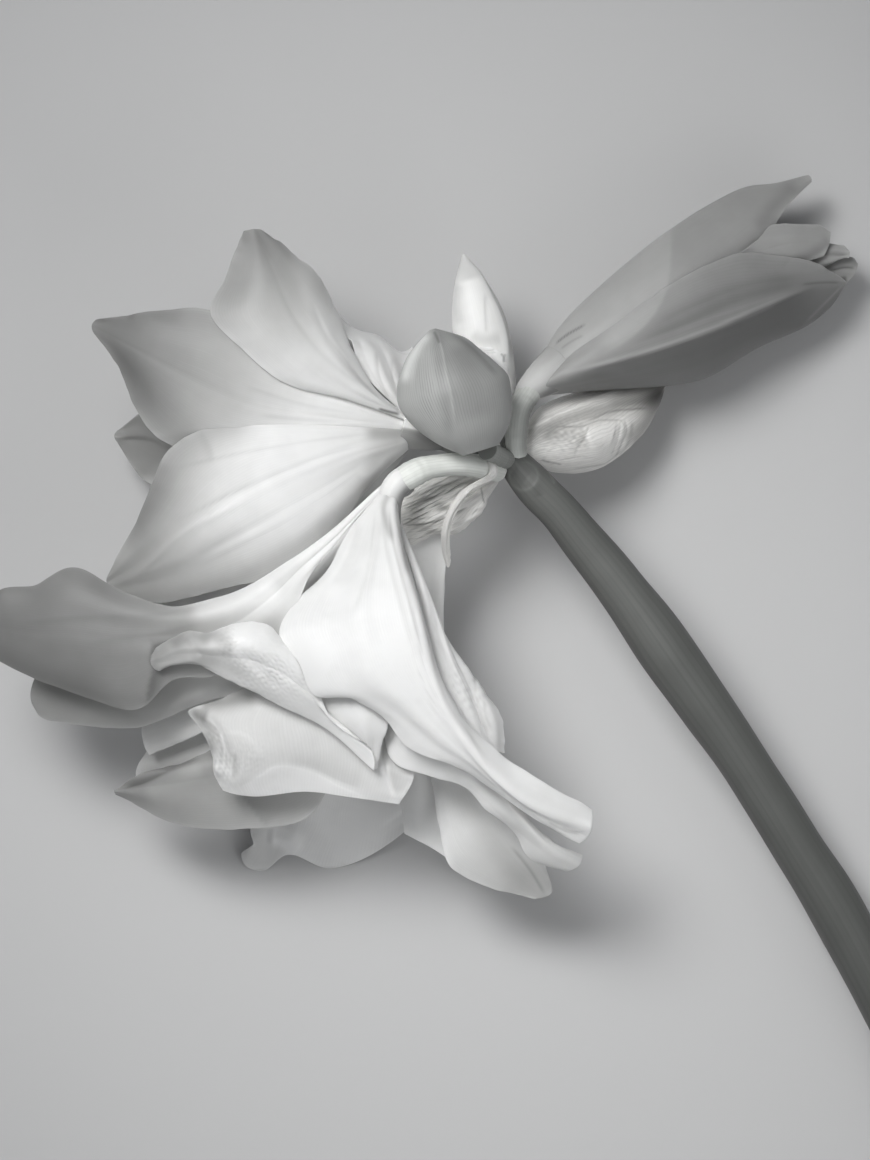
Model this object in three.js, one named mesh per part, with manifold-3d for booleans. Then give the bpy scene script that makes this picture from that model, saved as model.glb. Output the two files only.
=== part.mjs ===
// Cut amaryllis stem with five flowers in different stages, lying on a table.
// Millimetres. X and Y run along the table, Z points up from it, and the table is at Z = 0.
// All points below are given in the layout frame, which has its origin under the middle of
// the umbel's left side. LAYOUT_ORIGIN then moves the whole stem so that its own origin is
// under the middle of its bounding box.

import * as THREE from "three";
import Module from "manifold-3d";

const wasm = await Module();
wasm.setup();

const LAYOUT_ORIGIN = [21.12, -40, 0];
const PETAL_THICKNESS = 0.8;
const SPATHE_THICKNESS = 0.8;
const SEAT_GAP = 0.3;
const FRONT_GRID = [11, 8];
const BACK_GRID = [8, 6];

// The scape is the thick leafless stem. It ends in the umbel at its first point
// and in a cut face at its last point, where its underside lies on the table.
const SCAPE_PATH = [
  [31, 48, 62], [35, 42.5, 62], [41, 35, 61], [62, 12, 57], [81, -12, 52.5], [98, -36, 47.5],
  [115, -60, 42.5], [131, -84, 37.5], [146, -108, 32.5], [161, -132, 28], [189, -185, 18.4],
  [216, -238, 10.2],
];
const SCAPE_RADII = [6.2, 9.8, 8.4, 9.8, 11, 11, 10.6, 10.2, 10.1, 10.5, 10.8, 10.6];
const SCAPE_SIDES = 14;
const SCAPE_STATIONS = 24;
const PITH_RADIUS = 5.5;
const PITH_DEPTH = 5;

// Each flower hangs on a pedicel that rises from the umbel.
const PEDICELS = {
  open: { path: [[27, 46, 61], [16, 51, 60], [3, 57, 60.5]], radii: [4.6, 4.4, 5.6] },
  hanging: {
    path: [
      [25, 44, 64], [19, 45.3, 72], [8, 46.2, 79], [-4, 44.6, 84], [-12.5, 40.6, 86.3], [-17.5, 36.5, 85.3],
    ],
    radii: [4.7, 4.7, 4.6, 4.6, 5.3, 5.2],
  },
  opening: {
    path: [[33, 48, 63], [31.8, 57, 67], [33.6, 68, 64.5], [38, 76.4, 58.5]],
    radii: [4.6, 4.4, 4.8, 5.6],
  },
  round: { path: [[28, 49, 66], [24, 50, 74], [19, 52, 82.5]], radii: [4, 3.9, 4.6] },
  pointed: { path: [[30.5, 51, 58], [29, 57, 53.5], [27.2, 63.5, 50.6]], radii: [3.6, 3.6, 4.2] },
};
const PEDICEL_SIDES = 9;
const PEDICEL_STATIONS = 8;

// The perianth tube of each open flower is the short solid throat that its petals grow from.
const THROATS = {
  open: { path: [[2.4, 57.3, 60.6], [-5, 59, 61.5], [-14, 61.5, 63]], radii: [5.8, 7.6, 8.8] },
  hanging: {
    path: [[-17.8, 36.2, 85], [-19.5, 32, 79], [-21, 26.5, 70], [-22, 18.5, 51]],
    radii: [5.3, 5.6, 6.2, 6.8],
  },
  opening: { path: [[38.3, 76.8, 58.1], [43, 80.5, 55.5], [50, 85.5, 52]], radii: [5.7, 7.6, 9.5] },
};
const THROAT_SIDES = 10;
const THROAT_STATIONS = 5;

// A petal is a sheet through guide lines that run from its root to its tip. Seen from above,
// the first guide is the edge on the right hand of someone walking from root to tip.
// frill is [height, waves, phase] of its wavy edges, pleat is [height, folds, phase] across it.
const OPEN_BLOOM = [
  { // top petal
    guides: [
      [[-12, 66, 66], [-24, 76, 72], [-33, 92, 76], [-41, 110, 77], [-48, 123, 79], [-58, 132.5, 81],
        [-69, 139.5, 84]],
      [[-12, 65, 69], [-30, 77, 84], [-46, 96, 93], [-60, 116, 94], [-72, 140, 86]],
      [[-12, 64, 69], [-36, 72.5, 81.5], [-58, 78, 91], [-78, 93, 94], [-90, 107, 92], [-83, 122, 89],
        [-79, 132, 88], [-76, 139, 86]],
    ],
    frill: [0.7, 2, 0.4], pleat: [0.8, 5, 0.5], front: true,
  },
  { // left petal, with both its edges under its neighbours
    guides: [
      [[-12, 65, 65], [-40, 76, 80], [-68, 92, 88], [-90, 107.5, 90], [-111, 107.5, 88],
        [-125, 105, 84], [-135, 104, 81]],
      [[-12, 62, 68], [-48, 68, 86], [-85, 75, 94], [-115, 89, 90], [-137, 101.5, 80]],
      [[-12, 58, 65], [-50, 52, 78], [-88, 50, 83], [-110, 56, 84], [-119, 67, 83], [-124, 80, 83],
        [-130, 91, 82], [-136, 98, 80]],
    ],
    frill: [0.6, 2, 2], pleat: [0.5, 3, 0], front: true,
  },
  { // lower petal
    guides: [
      [[-10, 60, 66], [-32, 61, 79.5], [-62, 62, 90.5], [-92, 60, 93], [-106, 52, 92], [-113, 38, 90],
        [-120, 22, 86], [-127, 9, 81], [-131, 1, 77]],
      [[-10, 57, 68], [-34, 50, 84], [-66, 34, 93], [-100, 14, 90], [-131, -2, 76]],
      [[-10, 53, 63], [-22, 42, 70], [-42, 18, 79], [-62, 3, 82], [-86, -4, 80], [-112, -8.5, 74],
        [-129, -6, 75]],
    ],
    frill: [0.6, 2, 1], pleat: [0.7, 4, 0], front: true,
  },
  { // petal under the lower one
    guides: [
      [[-10, 56, 60], [-40, 36, 71], [-80, 8, 75], [-116, -6, 68]],
      [[-10, 54, 58], [-36, 27, 67], [-72, -2, 73], [-117, -12, 64]],
      [[-10, 53, 56], [-42, 12, 56], [-78, -14, 60], [-116, -19, 56]],
    ],
    frill: [1, 2, 0],
  },
  { // far petal on the left
    guides: [
      [[-10, 61, 58], [-45, 80, 42], [-88, 82, 26], [-116, 69, 22], [-127.8, 60, 23]],
      [[-10, 60, 57], [-50, 58, 34], [-92, 57, 18], [-128.8, 58, 23]],
      [[-10, 57, 57], [-45, 38, 38], [-90, 33, 24], [-115, 39, 21], [-127.8, 55.5, 22.5]],
    ],
    frill: [1, 2, 3],
  },
  { // side petal with folds that spread from the throat
    guides: [
      [[-8, 62, 58], [-9, 74, 58], [-10, 84, 54], [-12, 90, 44], [-13, 92, 34]],
      [[-10, 64, 63], [-17, 79, 68], [-21, 91, 64], [-23, 98, 52], [-24, 99, 38]],
      [[-12, 66, 64], [-27, 81, 72], [-33, 93, 74], [-38, 105, 66], [-42, 110, 50]],
    ],
    frill: [1.2, 2, 3], pleat: [1.2, 5, 0.4], front: true,
  },
  { // far petal under the top one, its tip on the table
    guides: [
      [[-8, 62, 57], [-19, 79, 44], [-31, 93, 30], [-44, 107, 14], [-52, 121, 3]],
      [[-10, 61, 56], [-34, 80, 36], [-50, 98, 18], [-60, 124, 0.3]],
      [[-10, 60, 57], [-44, 76, 40], [-68, 92, 24], [-82, 106, 10], [-72, 124, 2.4]],
    ],
    frill: [1.2, 2, 3],
  },
];

const HANGING_BLOOM = [
  { // broad front petal with its ridge on the right
    guides: [
      [[-23, 35, 80], [-34, 20, 88], [-44, 3, 93], [-56, -9, 97], [-62, -22, 104], [-54, -33, 106],
        [-48, -46, 105], [-33, -47.5, 105], [-21, -54, 105], [-11, -66, 103], [6, -73, 102],
        [22, -83, 99], [42, -97, 94], [58, -105, 88]],
      [[-20, 35, 85], [-24, 12, 99], [-29, -12, 109], [-27, -34, 113], [-8, -54, 111], [14, -72, 107],
        [38, -91, 99], [60, -102, 91]],
      [[-17, 34, 85], [-14, 10, 101], [-7, -12, 111], [0, -38, 115], [8, -57, 113], [22, -77, 108],
        [38, -91, 101], [62, -98.5, 93]],
      [[-14, 32, 81], [-10, 6, 93], [-4, -18, 98.5], [4, -43, 99.5], [12, -56.5, 99.5], [27, -69.5, 97],
        [42, -80, 94], [62.5, -92, 87.5]],
    ],
    frill: [0.5, 3, 0.8], pleat: [0.5, 6, 0], front: true,
  },
  { // narrow petal whose tip shows under the broad one
    guides: [
      [[-24, 34, 77], [-40, -2, 86], [-51, -28, 90], [-46, -51, 93], [-35, -60, 92], [-25, -75, 86]],
      [[-20, 33, 80], [-33, -8, 92], [-37, -36, 98], [-30, -58, 97], [-24, -75.5, 87]],
      [[-17, 32, 77], [-21, -8, 90], [-21, -38, 97], [-19, -56, 96], [-22, -67, 91], [-23, -75, 86]],
    ],
    frill: [0.5, 2, 2.2], front: true,
  },
  { // long left petal
    guides: [
      [[-22, 38, 80], [-40, 21, 89], [-60, 6.5, 95], [-80, -5, 97], [-103, -10, 97], [-122, -5.5, 95],
        [-144, 4.5, 90], [-160, -2, 87], [-174, -4, 84], [-181, -12, 81]],
      [[-22, 36.5, 83], [-50, 8, 96], [-80, -14, 101], [-112, -21, 101], [-145, -20, 97],
        [-172, -19, 88], [-183, -18, 81]],
      [[-21, 35, 80], [-33, 23, 85], [-42, 12, 88], [-50, 2, 89], [-56, -12, 90], [-72, -34, 90],
        [-88, -38, 92], [-104, -39, 94], [-118, -51, 94], [-135, -48.5, 92], [-160, -39, 87],
        [-174, -32, 83], [-181, -24, 80]],
    ],
    frill: [0.7, 3, 0.2], pleat: [0.4, 3, 0], front: true,
  },
  { // crinkled petal on top of the long one
    guides: [
      [[-34, -10, 93], [-50, -14, 98], [-66, -15, 103], [-78, -17, 105], [-90, -22, 105.5],
        [-98, -20.5, 105], [-106, -23.5, 103.5], [-111, -27, 102], [-112.8, -30.5, 101]],
      [[-46, -40, 101], [-57, -31, 106], [-72, -26, 111], [-90, -26.5, 109], [-104, -27.5, 106.5],
        [-113.2, -32.2, 101]],
      [[-41, -56, 98.5], [-54, -42, 102.5], [-68, -34, 106.5], [-88, -29.5, 107.5], [-104, -29.5, 106],
        [-113.1, -32.8, 101]],
      [[-25.5, -68, 93.5], [-47, -52, 98], [-66, -43.5, 101.5], [-86, -35, 103.5], [-103, -32, 104.2],
        [-112.9, -33.8, 101]],
      [[-24.5, -75.8, 90.5], [-45, -58, 94], [-65, -48.5, 97.5], [-84, -38.5, 101], [-97, -32.6, 103.2],
        [-105, -33.8, 102.8], [-110, -36, 101], [-112.3, -34.8, 100.8]],
    ],
    frill: [0.6, 3, 1], front: true,
  },
  { // dark petal under the long one
    guides: [
      [[-26, 32, 74], [-80, -10, 78], [-125, -24, 74], [-158, -36, 66]],
      [[-26, 30, 75], [-75, -25, 81], [-120, -42, 77], [-161.5, -44, 66]],
      [[-25, 28, 73], [-62, -38, 77], [-93, -49, 75], [-120, -59.5, 70], [-146, -57, 66],
        [-157, -55, 65], [-161, -50, 64]],
    ],
    frill: [0.6, 2, 1.2],
  },
  { // broad inner petal with a rolled left margin
    guides: [
      [[-26, 25, 68], [-50, -14, 76], [-76, -43, 83], [-90, -48.5, 85], [-98.5, -52.5, 84],
        [-92, -60, 84], [-88.5, -70, 82], [-88, -78, 80], [-84.5, -83.5, 76]],
      [[-24, 25, 69], [-46, -18, 80], [-66, -46, 88], [-73, -66, 88], [-76, -78, 83], [-73, -86.3, 77]],
      [[-22, 24, 70], [-36, -20, 82], [-46, -50, 89], [-49, -68, 87], [-51, -84.5, 79]],
      [[-20, 24, 69], [-24, -20, 80], [-27, -50, 87], [-29, -68, 85], [-31, -87, 78]],
      [[-18, 24, 67], [-15, -20, 76], [-17, -50, 83], [-14, -66, 84], [-8.5, -77.5, 82.5],
        [-14.5, -89.5, 77]],
    ],
    frill: [0.9, 3, 1], front: true,
  },
  { // lower left petal
    guides: [
      [[-26, 23, 60], [-55, -26, 60], [-80, -60, 58], [-100, -72, 56], [-118, -78, 52],
        [-128.5, -84, 46]],
      [[-24, 21, 62], [-50, -34, 64], [-76, -70, 63], [-102, -79, 58], [-128.5, -84.5, 47]],
      [[-20, 19, 60], [-32, -40, 59], [-50, -94, 57], [-78, -99.3, 54], [-104, -97.5, 50],
        [-121, -90, 46], [-128, -85.5, 45]],
    ],
    frill: [0.6, 2.5, 1], front: true,
  },
  { // small petal above the lower left one
    guides: [
      [[-27, 26, 66], [-70, -28, 68], [-100, -48, 61], [-117, -58, 52]],
      [[-26, 24, 67], [-66, -36, 70], [-95, -54, 62], [-117, -64, 51]],
      [[-24, 23, 66], [-60, -42, 69], [-92, -60, 60], [-114.5, -70, 50]],
    ],
    frill: [0.6, 2, 1],
  },
  { // far petal on the left
    guides: [
      [[-26, 23, 56], [-66, -36, 54], [-92, -57, 48], [-115, -69, 38]],
      [[-24, 22, 57], [-60, -43, 55], [-92, -64, 48], [-119, -74, 37]],
      [[-22, 20, 55], [-55, -52, 52], [-90, -75, 44], [-120, -80, 34]],
    ],
    frill: [0.6, 2, 2],
  },
  { // lowest petal with a deeply waved rim
    guides: [
      [[-25, 20, 54], [-46, -40, 36], [-66, -82, 19], [-74, -100, 11], [-73.4, -105.5, 9],
        [-78.2, -110.5, 5]],
      [[-24.5, 20, 54], [-44, -40, 37.5], [-62, -83, 19.5], [-70, -103, 10], [-75.8, -115.6, 2]],
      [[-23, 20, 55], [-40, -40, 39], [-56, -85, 20], [-65, -103, 9], [-69, -117, -0.2]],
      [[-22, 20, 55], [-33, -40, 41], [-46, -85, 22], [-59, -110.4, 6]],
      [[-21, 19, 55], [-25, -40, 39], [-33, -85, 20], [-42, -116, -0.2]],
      [[-19, 18, 54], [-14, -40, 34], [-13, -80, 21], [-13, -101, 12]],
    ],
    frill: [1, 2.5, 0.5], front: true,
  },
  { // pointed petal on the lower right
    guides: [
      [[-22, 22, 61], [-10, -30, 60], [-2, -75, 56], [2, -98, 52], [6, -114.5, 50], [22, -123, 47],
        [40, -127.5, 44]],
      [[-20, 23, 63], [0, -30, 68], [13, -72, 65], [28, -104, 58], [46, -126, 45]],
      [[-18, 23, 61], [6, -30, 62], [22, -70, 62], [36, -96, 58], [43.5, -113, 52], [47, -124, 45]],
    ],
    frill: [0.5, 2, 1.5], front: true,
  },
  { // blunt petal between the lowest one and the pointed one
    guides: [
      [[-23, 19, 57], [-17, -40, 49], [-13, -80, 41], [-10, -103, 34]],
      [[-21, 20, 58], [-8, -40, 53], [-4, -80, 44], [-3, -106, 35]],
      [[-19, 20, 57], [0, -40, 49], [6, -80, 40], [6, -112, 34]],
    ],
    frill: [0.6, 2, 0.1],
  },
  { // slender petal under the broad one, with a round tip
    guides: [
      [[-20, 29, 72], [-22, -20, 82], [-21, -58, 87], [-17, -72, 87], [-2, -78, 88], [12, -82, 86],
        [20, -91, 84], [31, -101, 80], [38, -111.5, 77], [52, -116.3, 72]],
      [[-17, 29, 74], [-8, -20, 88], [4, -55, 92], [24, -82, 90], [42, -103, 84], [57.5, -114, 73]],
      [[-15, 28, 72], [0, -20, 80], [12, -55, 84], [30, -84, 84], [45, -104, 80], [58.5, -110, 73]],
    ],
    frill: [0.4, 2, 0.5], front: true,
  },
  { // ribbed side petal on the right
    guides: [
      [[-18, 31, 76], [-8, 0, 90], [-1, -30, 97.5], [8, -52, 98.5], [18, -67, 95]],
      [[-17, 30, 76], [-3, -4, 90], [8, -34, 96], [16, -52, 95], [23, -68, 90]],
      [[-16, 29, 75], [-5, -10, 85], [5, -26, 88], [18, -41, 87], [26.5, -56, 85], [27.5, -69, 84]],
    ],
    frill: [0.5, 2, 0.5], pleat: [0.8, 5, 0.4], front: true,
  },
  { // pale far petal on the right
    guides: [
      [[-22, 22, 52], [-18, 0, 44], [-16, -40, 26], [-10, -66, 8]],
      [[-20, 22, 52], [-8, 6, 45], [-4, -30, 31], [4, -70, 4]],
      [[-18, 21, 51], [-6, 19, 48], [4.8, 17, 47], [4.2, 4, 46], [3.4, -14, 39], [6, -40, 22],
        [14, -66, 5]],
    ],
    frill: [0.5, 2, 0.5],
  },
];

const OPENING_BLOOM = [
  { // near petal, its ridge towards the top and its lower side in shade
    guides: [
      [[42, 75, 52], [70, 80, 28], [100, 88, 14], [130, 101, 9], [152, 111, 15], [163, 117, 26]],
      [[42, 74, 55], [60, 76, 46], [94, 78.5, 33], [110, 82, 29], [130, 93.5, 25], [150, 103, 24],
        [160, 111.5, 26], [164.5, 118, 29]],
      [[42, 77, 61.5], [60, 84, 63], [80, 91, 61], [100, 96, 58], [120, 103, 52.5], [148, 117, 40],
        [165, 119.5, 30]],
      [[42, 80, 60], [66, 99, 60.2], [96, 119, 54.6], [122, 131, 46.2], [140, 130, 41.5],
        [150, 128, 38.5], [160, 123, 33.5], [165, 120, 31]],
    ],
    frill: [0.3, 2, 0.5], pleat: [0.5, 4, 0.5], front: true,
  },
  { // upper petal, wrapped round the back
    guides: [
      [[42, 79, 58], [70, 94, 59], [100, 110, 54], [126, 127, 45], [135, 142, 39], [148, 155.5, 30],
        [151.3, 160, 27]],
      [[41, 80, 59], [64, 106, 57], [98, 134, 47], [128, 150, 36], [151, 161.5, 27]],
      [[40, 82, 56], [50, 101, 44], [80, 129, 32], [110, 150, 25], [125, 157.5, 24], [137, 159, 25],
        [150, 162.5, 26]],
      [[41, 82, 52], [55, 98, 32], [84, 122, 15], [112, 140, 10], [130, 150, 13], [149, 161.5, 24]],
    ],
    frill: [0.3, 2, 0.5], pleat: [0.4, 4, 0.5], front: true,
  },
  { // middle petal between them
    guides: [
      [[44, 80, 52], [90, 106, 46], [130, 122, 38], [156, 130, 33]],
      [[44, 81, 54], [90, 115, 48], [128, 135, 41], [157.5, 136, 32]],
      [[44, 82, 52], [84, 119, 42], [120, 139, 36], [141, 142.5, 33], [152, 142, 30], [158, 139.5, 29]],
    ],
    frill: [0.4, 2, 0.5],
  },
  { // first crumpled inner tip
    guides: [
      [[46, 82, 48], [120, 113, 34], [152, 124, 30], [166, 130, 29]],
      [[46, 83, 50], [120, 119, 37], [150, 130, 32], [166.5, 131.5, 30]],
      [[46, 84, 48], [114, 123, 34], [144, 134, 30], [157, 135.3, 28], [165, 133, 28]],
    ],
    frill: [0.6, 3, 0.5],
  },
  { // second crumpled inner tip
    guides: [
      [[46, 81, 47], [120, 108, 25], [155, 119, 21], [169, 121, 21]],
      [[46, 82, 48], [120, 112, 29], [156, 124, 25], [169.5, 125, 23]],
      [[46, 83, 47], [118, 117, 26], [152, 129, 24], [166, 130, 23], [169.5, 127.5, 22]],
    ],
    frill: [0.6, 3, 1.5],
  },
  { // under petal that lies on the table
    guides: [
      [[44, 77, 50], [70, 84, 22], [100, 96, 7], [132, 110, 3], [158, 118, 13]],
      [[44, 78, 49], [66, 92, 14], [90, 106, 1], [102, 112, 0.25], [116, 118, 0.25], [130, 123, 0.4],
        [160, 124, 12]],
      [[44, 80, 50], [60, 100, 26], [90, 122, 9], [118, 138, 5], [152, 134, 15]],
    ],
    frill: [0.3, 2, 0.5],
  },
];

// The spathes are the two papery bracts that wrapped the umbel, the bracteole is a thin strap.
const BROAD_SPATHE = {
  guides: [
    [[35, 46, 56], [42, 44.5, 50], [50, 43, 44], [60, 43.5, 39], [70, 47, 34], [78, 53, 31], [86, 62, 28],
      [91, 72, 26],
      [92.5, 78, 24]],
    [[35, 49, 58], [48, 52, 57], [64, 56, 49], [80, 65, 37], [92.6, 78, 24]],
    [[34.5, 52, 58], [41, 61.5, 55], [50, 66, 49], [62, 70.5, 40], [76, 75, 30], [92.3, 78.5, 23]],
    [[34, 56, 56], [38, 64, 47], [43, 70, 39], [58, 76, 27], [76, 78, 20], [91.6, 79, 21.5]],
  ],
  frill: [0.6, 3, 0.5], pleat: [0.5, 6, 0.5],
};
const WITHERED_SPATHE = {
  guides: [
    [[26, 43, 58], [12, 43, 60], [0, 42, 61], [-8, 36, 60], [-13.5, 32.5, 58]],
    [[25, 41, 59], [10, 33, 64], [-4, 28, 65], [-15, 26, 57]],
    [[24, 39, 57], [19, 30, 57], [10, 21, 56], [-1, 17, 54], [-12, 14, 51]],
  ],
  frill: [0.8, 3, 0.5], pleat: [0.9, 7, 0],
};
const BRACTEOLE = {
  guides: [
    [[23, 41, 62], [9.5, 35.5, 70], [4.5, 28, 70], [2.5, 20, 65], [4.6, 8, 56]],
    [[23, 40, 63], [10.5, 34.5, 71], [6, 27.5, 71], [4.2, 20, 66], [6, 6, 56]],
    [[23, 39, 62], [11.5, 33, 70], [7.2, 27, 70], [6, 20, 65], [7, 8, 56]],
  ],
  frill: [0.2, 3, 0.5],
};
const SPATHE_GRID = [12, 12];
const BRACTEOLE_GRID = [9, 2];

// A closed bud is a body round an axis, with half-widths to both sides and in height at even
// stations from base to tip. tepals is how many overlap round it, twist how far they wind.
const ROUND_BUD = {
  axis: [[14, 50.5, 91], [-1, 100, 93]],
  left: [3, 10.5, 16, 19.8, 21.8, 20.8, 17.2, 11.6, 1.2],
  right: [12, 18.4, 21.4, 23, 23.4, 20, 15.8, 11, 1.2],
  height: [6, 13, 17.5, 20, 21, 19.5, 16, 11, 1],
  relief: 0.045, tepals: 3, turn: 0.9, twist: 0.5,
};
const POINTED_BUD = {
  axis: [[27, 60, 51], [11.5, 130.5, 51]],
  left: [4, 7.5, 9.5, 10.8, 11.2, 10.8, 8.6, 5.3, 0.6],
  right: [4, 7.5, 9.5, 10.8, 11.2, 10.8, 8.6, 5.3, 0.6],
  height: [4, 7.2, 9.2, 10.4, 10.8, 10.2, 8.2, 5, 0.6],
  relief: 0.05, tepals: 3, turn: 5.9, twist: 0.4,
};
const BUD_SIDES = 20;
const BUD_STATIONS = 14;
const POINTED_BUD_LIP = {
  guides: [
    [[17, 84, 56], [16, 90, 63], [16.5, 93.5, 66]],
    [[22, 80, 56], [22, 88, 65], [22, 93, 67]],
    [[26, 78, 53], [28, 85, 61], [28.5, 90, 63]],
  ],
  frill: [0.3, 1, 0],
};
const LIP_GRID = [4, 4];

const COLORS = {
  scape: 0x3d403a, pedicel: 0x8f928b, spathe: 0xb9b7ae, bud: 0x9b9c95, petal: 0xf1f0ec,
};

// Smooth curve through points at t from 0 to 1. Its knots are spaced by the root of the
// distance between the points, or evenly where even is true.
function curvePoint(points, t, even = false) {
  const last = points.length - 1;
  const knots = [0];
  for (let i = 0; i < last; i++) {
    const step = even ? 1 : Math.sqrt(Math.hypot(...points[i].map((v, k) => points[i + 1][k] - v)));
    knots.push(knots[i] + step);
  }
  const x = Math.min(Math.max(t, 0), 1) * knots[last];
  let i = 0;
  while (i < last - 1 && x > knots[i + 1]) i++;
  return hermite(points, knots, i, x, "plain");
}

// Cubic through points[i] and points[i + 1]. A "plain" end starts along its first chord,
// a "bowed" end continues the bend of its neighbour.
function hermite(points, knots, i, x, ends) {
  const h = knots[i + 1] - knots[i];
  const s = (x - knots[i]) / h;
  const a = slope(points, knots, i, ends);
  const b = slope(points, knots, i + 1, ends);
  return points[i].map((p, k) => (2 * s ** 3 - 3 * s ** 2 + 1) * p + (s ** 3 - 2 * s ** 2 + s) * h * a[k]
    + (3 * s ** 2 - 2 * s ** 3) * points[i + 1][k] + (s ** 3 - s ** 2) * h * b[k]);
}

function slope(points, knots, i, ends) {
  const last = points.length - 1;
  const chord = (j) => points[j].map((p, k) => (points[j + 1][k] - p) / (knots[j + 1] - knots[j]));
  if (i > 0 && i < last) {
    const before = chord(i - 1);
    const after = chord(i);
    const h0 = knots[i] - knots[i - 1];
    const h1 = knots[i + 1] - knots[i];
    return before.map((v, k) => (v * h1 + after[k] * h0) / (h0 + h1));
  }
  const edge = i === 0 ? chord(0) : chord(last - 1);
  if (ends === "plain" || last < 2) return edge;
  const inner = slope(points, knots, i === 0 ? 1 : last - 1, ends);
  return edge.map((v, k) => 2 * v - inner[k]);
}

// Point at u from 0 to 1 on the smooth line across a row of guide points.
function acrossPoint(row, u) {
  const last = row.length - 1;
  const knots = [0];
  for (let i = 0; i < last; i++) {
    knots.push(knots[i] + Math.sqrt(Math.hypot(...row[i].map((v, k) => row[i + 1][k] - v))) + 1e-6);
  }
  const x = u * knots[last];
  let i = 0;
  while (i < last - 1 && x > knots[i + 1]) i++;
  return hermite(row, knots, i, x, "bowed");
}

const smoothStep = (x) => THREE.MathUtils.smoothstep(x, 0, 1);
const vector = (point) => new THREE.Vector3(...point);

// Grid of points [station][across] of a petal, with its pleats and its waved edges.
function petalGrid({ guides, frill, pleat = [0, 0, 0] }, [stations, columns]) {
  const grid = [];
  for (let i = 0; i <= stations; i++) {
    const row = guides.map((guide) => curvePoint(guide, i / stations));
    grid.push([...Array(columns + 1).keys()].map((j) => vector(acrossPoint(row, j / columns))));
  }
  const normals = gridNormals(grid);
  return grid.map((row, i) => row.map((p, j) => {
    const t = i / stations;
    const u = j / columns;
    const edge = Math.abs(2 * u - 1);
    const phase = frill[2] + (u > 0.5 ? 2.1 : 0);
    const wave = Math.sin(2 * Math.PI * frill[1] * t + phase)
      + 0.4 * Math.sin(4.6 * Math.PI * frill[1] * t + 1.7 * frill[2] + phase - frill[2]);
    const fading = (1 - edge ** 4) * smoothStep(4 * t) * (1 - t) ** 0.6;
    const fold = Math.sin(Math.PI * pleat[1] * u + pleat[2]) * fading;
    const lift = frill[0] * smoothStep(1.6 * t) * edge ** 3 * wave + pleat[0] * fold;
    return p.clone().addScaledVector(normals[i][j], lift);
  }));
}

// Normals of a grid. The direction along the sheet is shared with its middle line,
// so that they hold at a narrow tip.
function gridNormals(grid) {
  const rows = grid.length - 1;
  const columns = grid[0].length - 1;
  const alongAt = (i, j) =>
    grid[Math.min(i + 1, rows)][j].clone().sub(grid[Math.max(i - 1, 0)][j]).normalize();
  return grid.map((row, i) => {
    const middle = alongAt(i, Math.round(columns / 2));
    return row.map((p, j) => {
      const across = row[Math.min(j + 1, columns)].clone().sub(row[Math.max(j - 1, 0)]).normalize();
      return alongAt(i, j).add(middle).cross(across).normalize();
    });
  });
}

// Closed solid from rings of points with the same count, each ring capped or run to a pole.
function solidFrom(points, triangles) {
  const vertices = new Float32Array(points.flatMap((p) => [p.x, p.y, p.z]));
  const triVerts = new Uint32Array(triangles.flat());
  const mesh = new wasm.Mesh({ numProp: 3, vertProperties: vertices, triVerts });
  mesh.merge();
  return new wasm.Manifold(mesh);
}

// Sheet of even thickness. Both faces are split into triangles alike.
function sheetSolid(grid, thickness) {
  const rows = grid.length - 1;
  const columns = grid[0].length - 1;
  const normals = gridNormals(grid);
  const face = (side) =>
    grid.flatMap((row, i) => row.map((p, j) => p.clone().addScaledVector(normals[i][j], side)));
  const points = [...face(thickness / 2), ...face(-thickness / 2)];
  const lower = (rows + 1) * (columns + 1);
  const at = (i, j) => i * (columns + 1) + j;
  const triangles = [];
  for (let i = 0; i < rows; i++) {
    for (let j = 0; j < columns; j++) {
      const [a, b, c, d] = [at(i, j), at(i + 1, j), at(i + 1, j + 1), at(i, j + 1)];
      triangles.push([a, b, c], [a, c, d]);
      triangles.push([c + lower, b + lower, a + lower], [d + lower, c + lower, a + lower]);
    }
  }
  const rim = [];
  for (let j = 0; j < columns; j++) rim.push([at(0, j + 1), at(0, j)], [at(rows, j), at(rows, j + 1)]);
  for (let i = 0; i < rows; i++) rim.push([at(i, 0), at(i + 1, 0)], [at(i + 1, columns), at(i, columns)]);
  for (const [a, b] of rim) triangles.push([b, a, a + lower], [b, a + lower, b + lower]);
  return solidFrom(points, triangles);
}

// Closed body through rings of points, with a pole at each end.
function ringSolid(rings, firstPole, lastPole) {
  const sides = rings[0].length;
  const points = [...rings.flat(), firstPole, lastPole];
  const triangles = [];
  for (let i = 0; i < rings.length - 1; i++) {
    for (let j = 0; j < sides; j++) {
      const k = (j + 1) % sides;
      const [a, b, c, d] = [i * sides + j, (i + 1) * sides + j, (i + 1) * sides + k, i * sides + k];
      triangles.push([a, b, c], [a, c, d]);
    }
  }
  const first = rings.length * sides;
  const top = (rings.length - 1) * sides;
  for (let j = 0; j < sides; j++) {
    const k = (j + 1) % sides;
    triangles.push([first, j, k], [first + 1, top + k, top + j]);
  }
  return solidFrom(points, triangles);
}

// Ring of points round a centre, across the direction of travel. reach gives the
// distance to the right hand and upwards for an angle from the right hand.
function ring(center, direction, sides, reach) {
  const right = direction.clone().cross(new THREE.Vector3(0, 0, 1)).normalize();
  const up = right.clone().cross(direction).normalize();
  return [...Array(sides).keys()].map((j) => {
    const angle = (2 * Math.PI * j) / sides;
    const [side, height] = reach(angle);
    return center.clone().addScaledVector(right, side).addScaledVector(up, height);
  });
}

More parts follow.
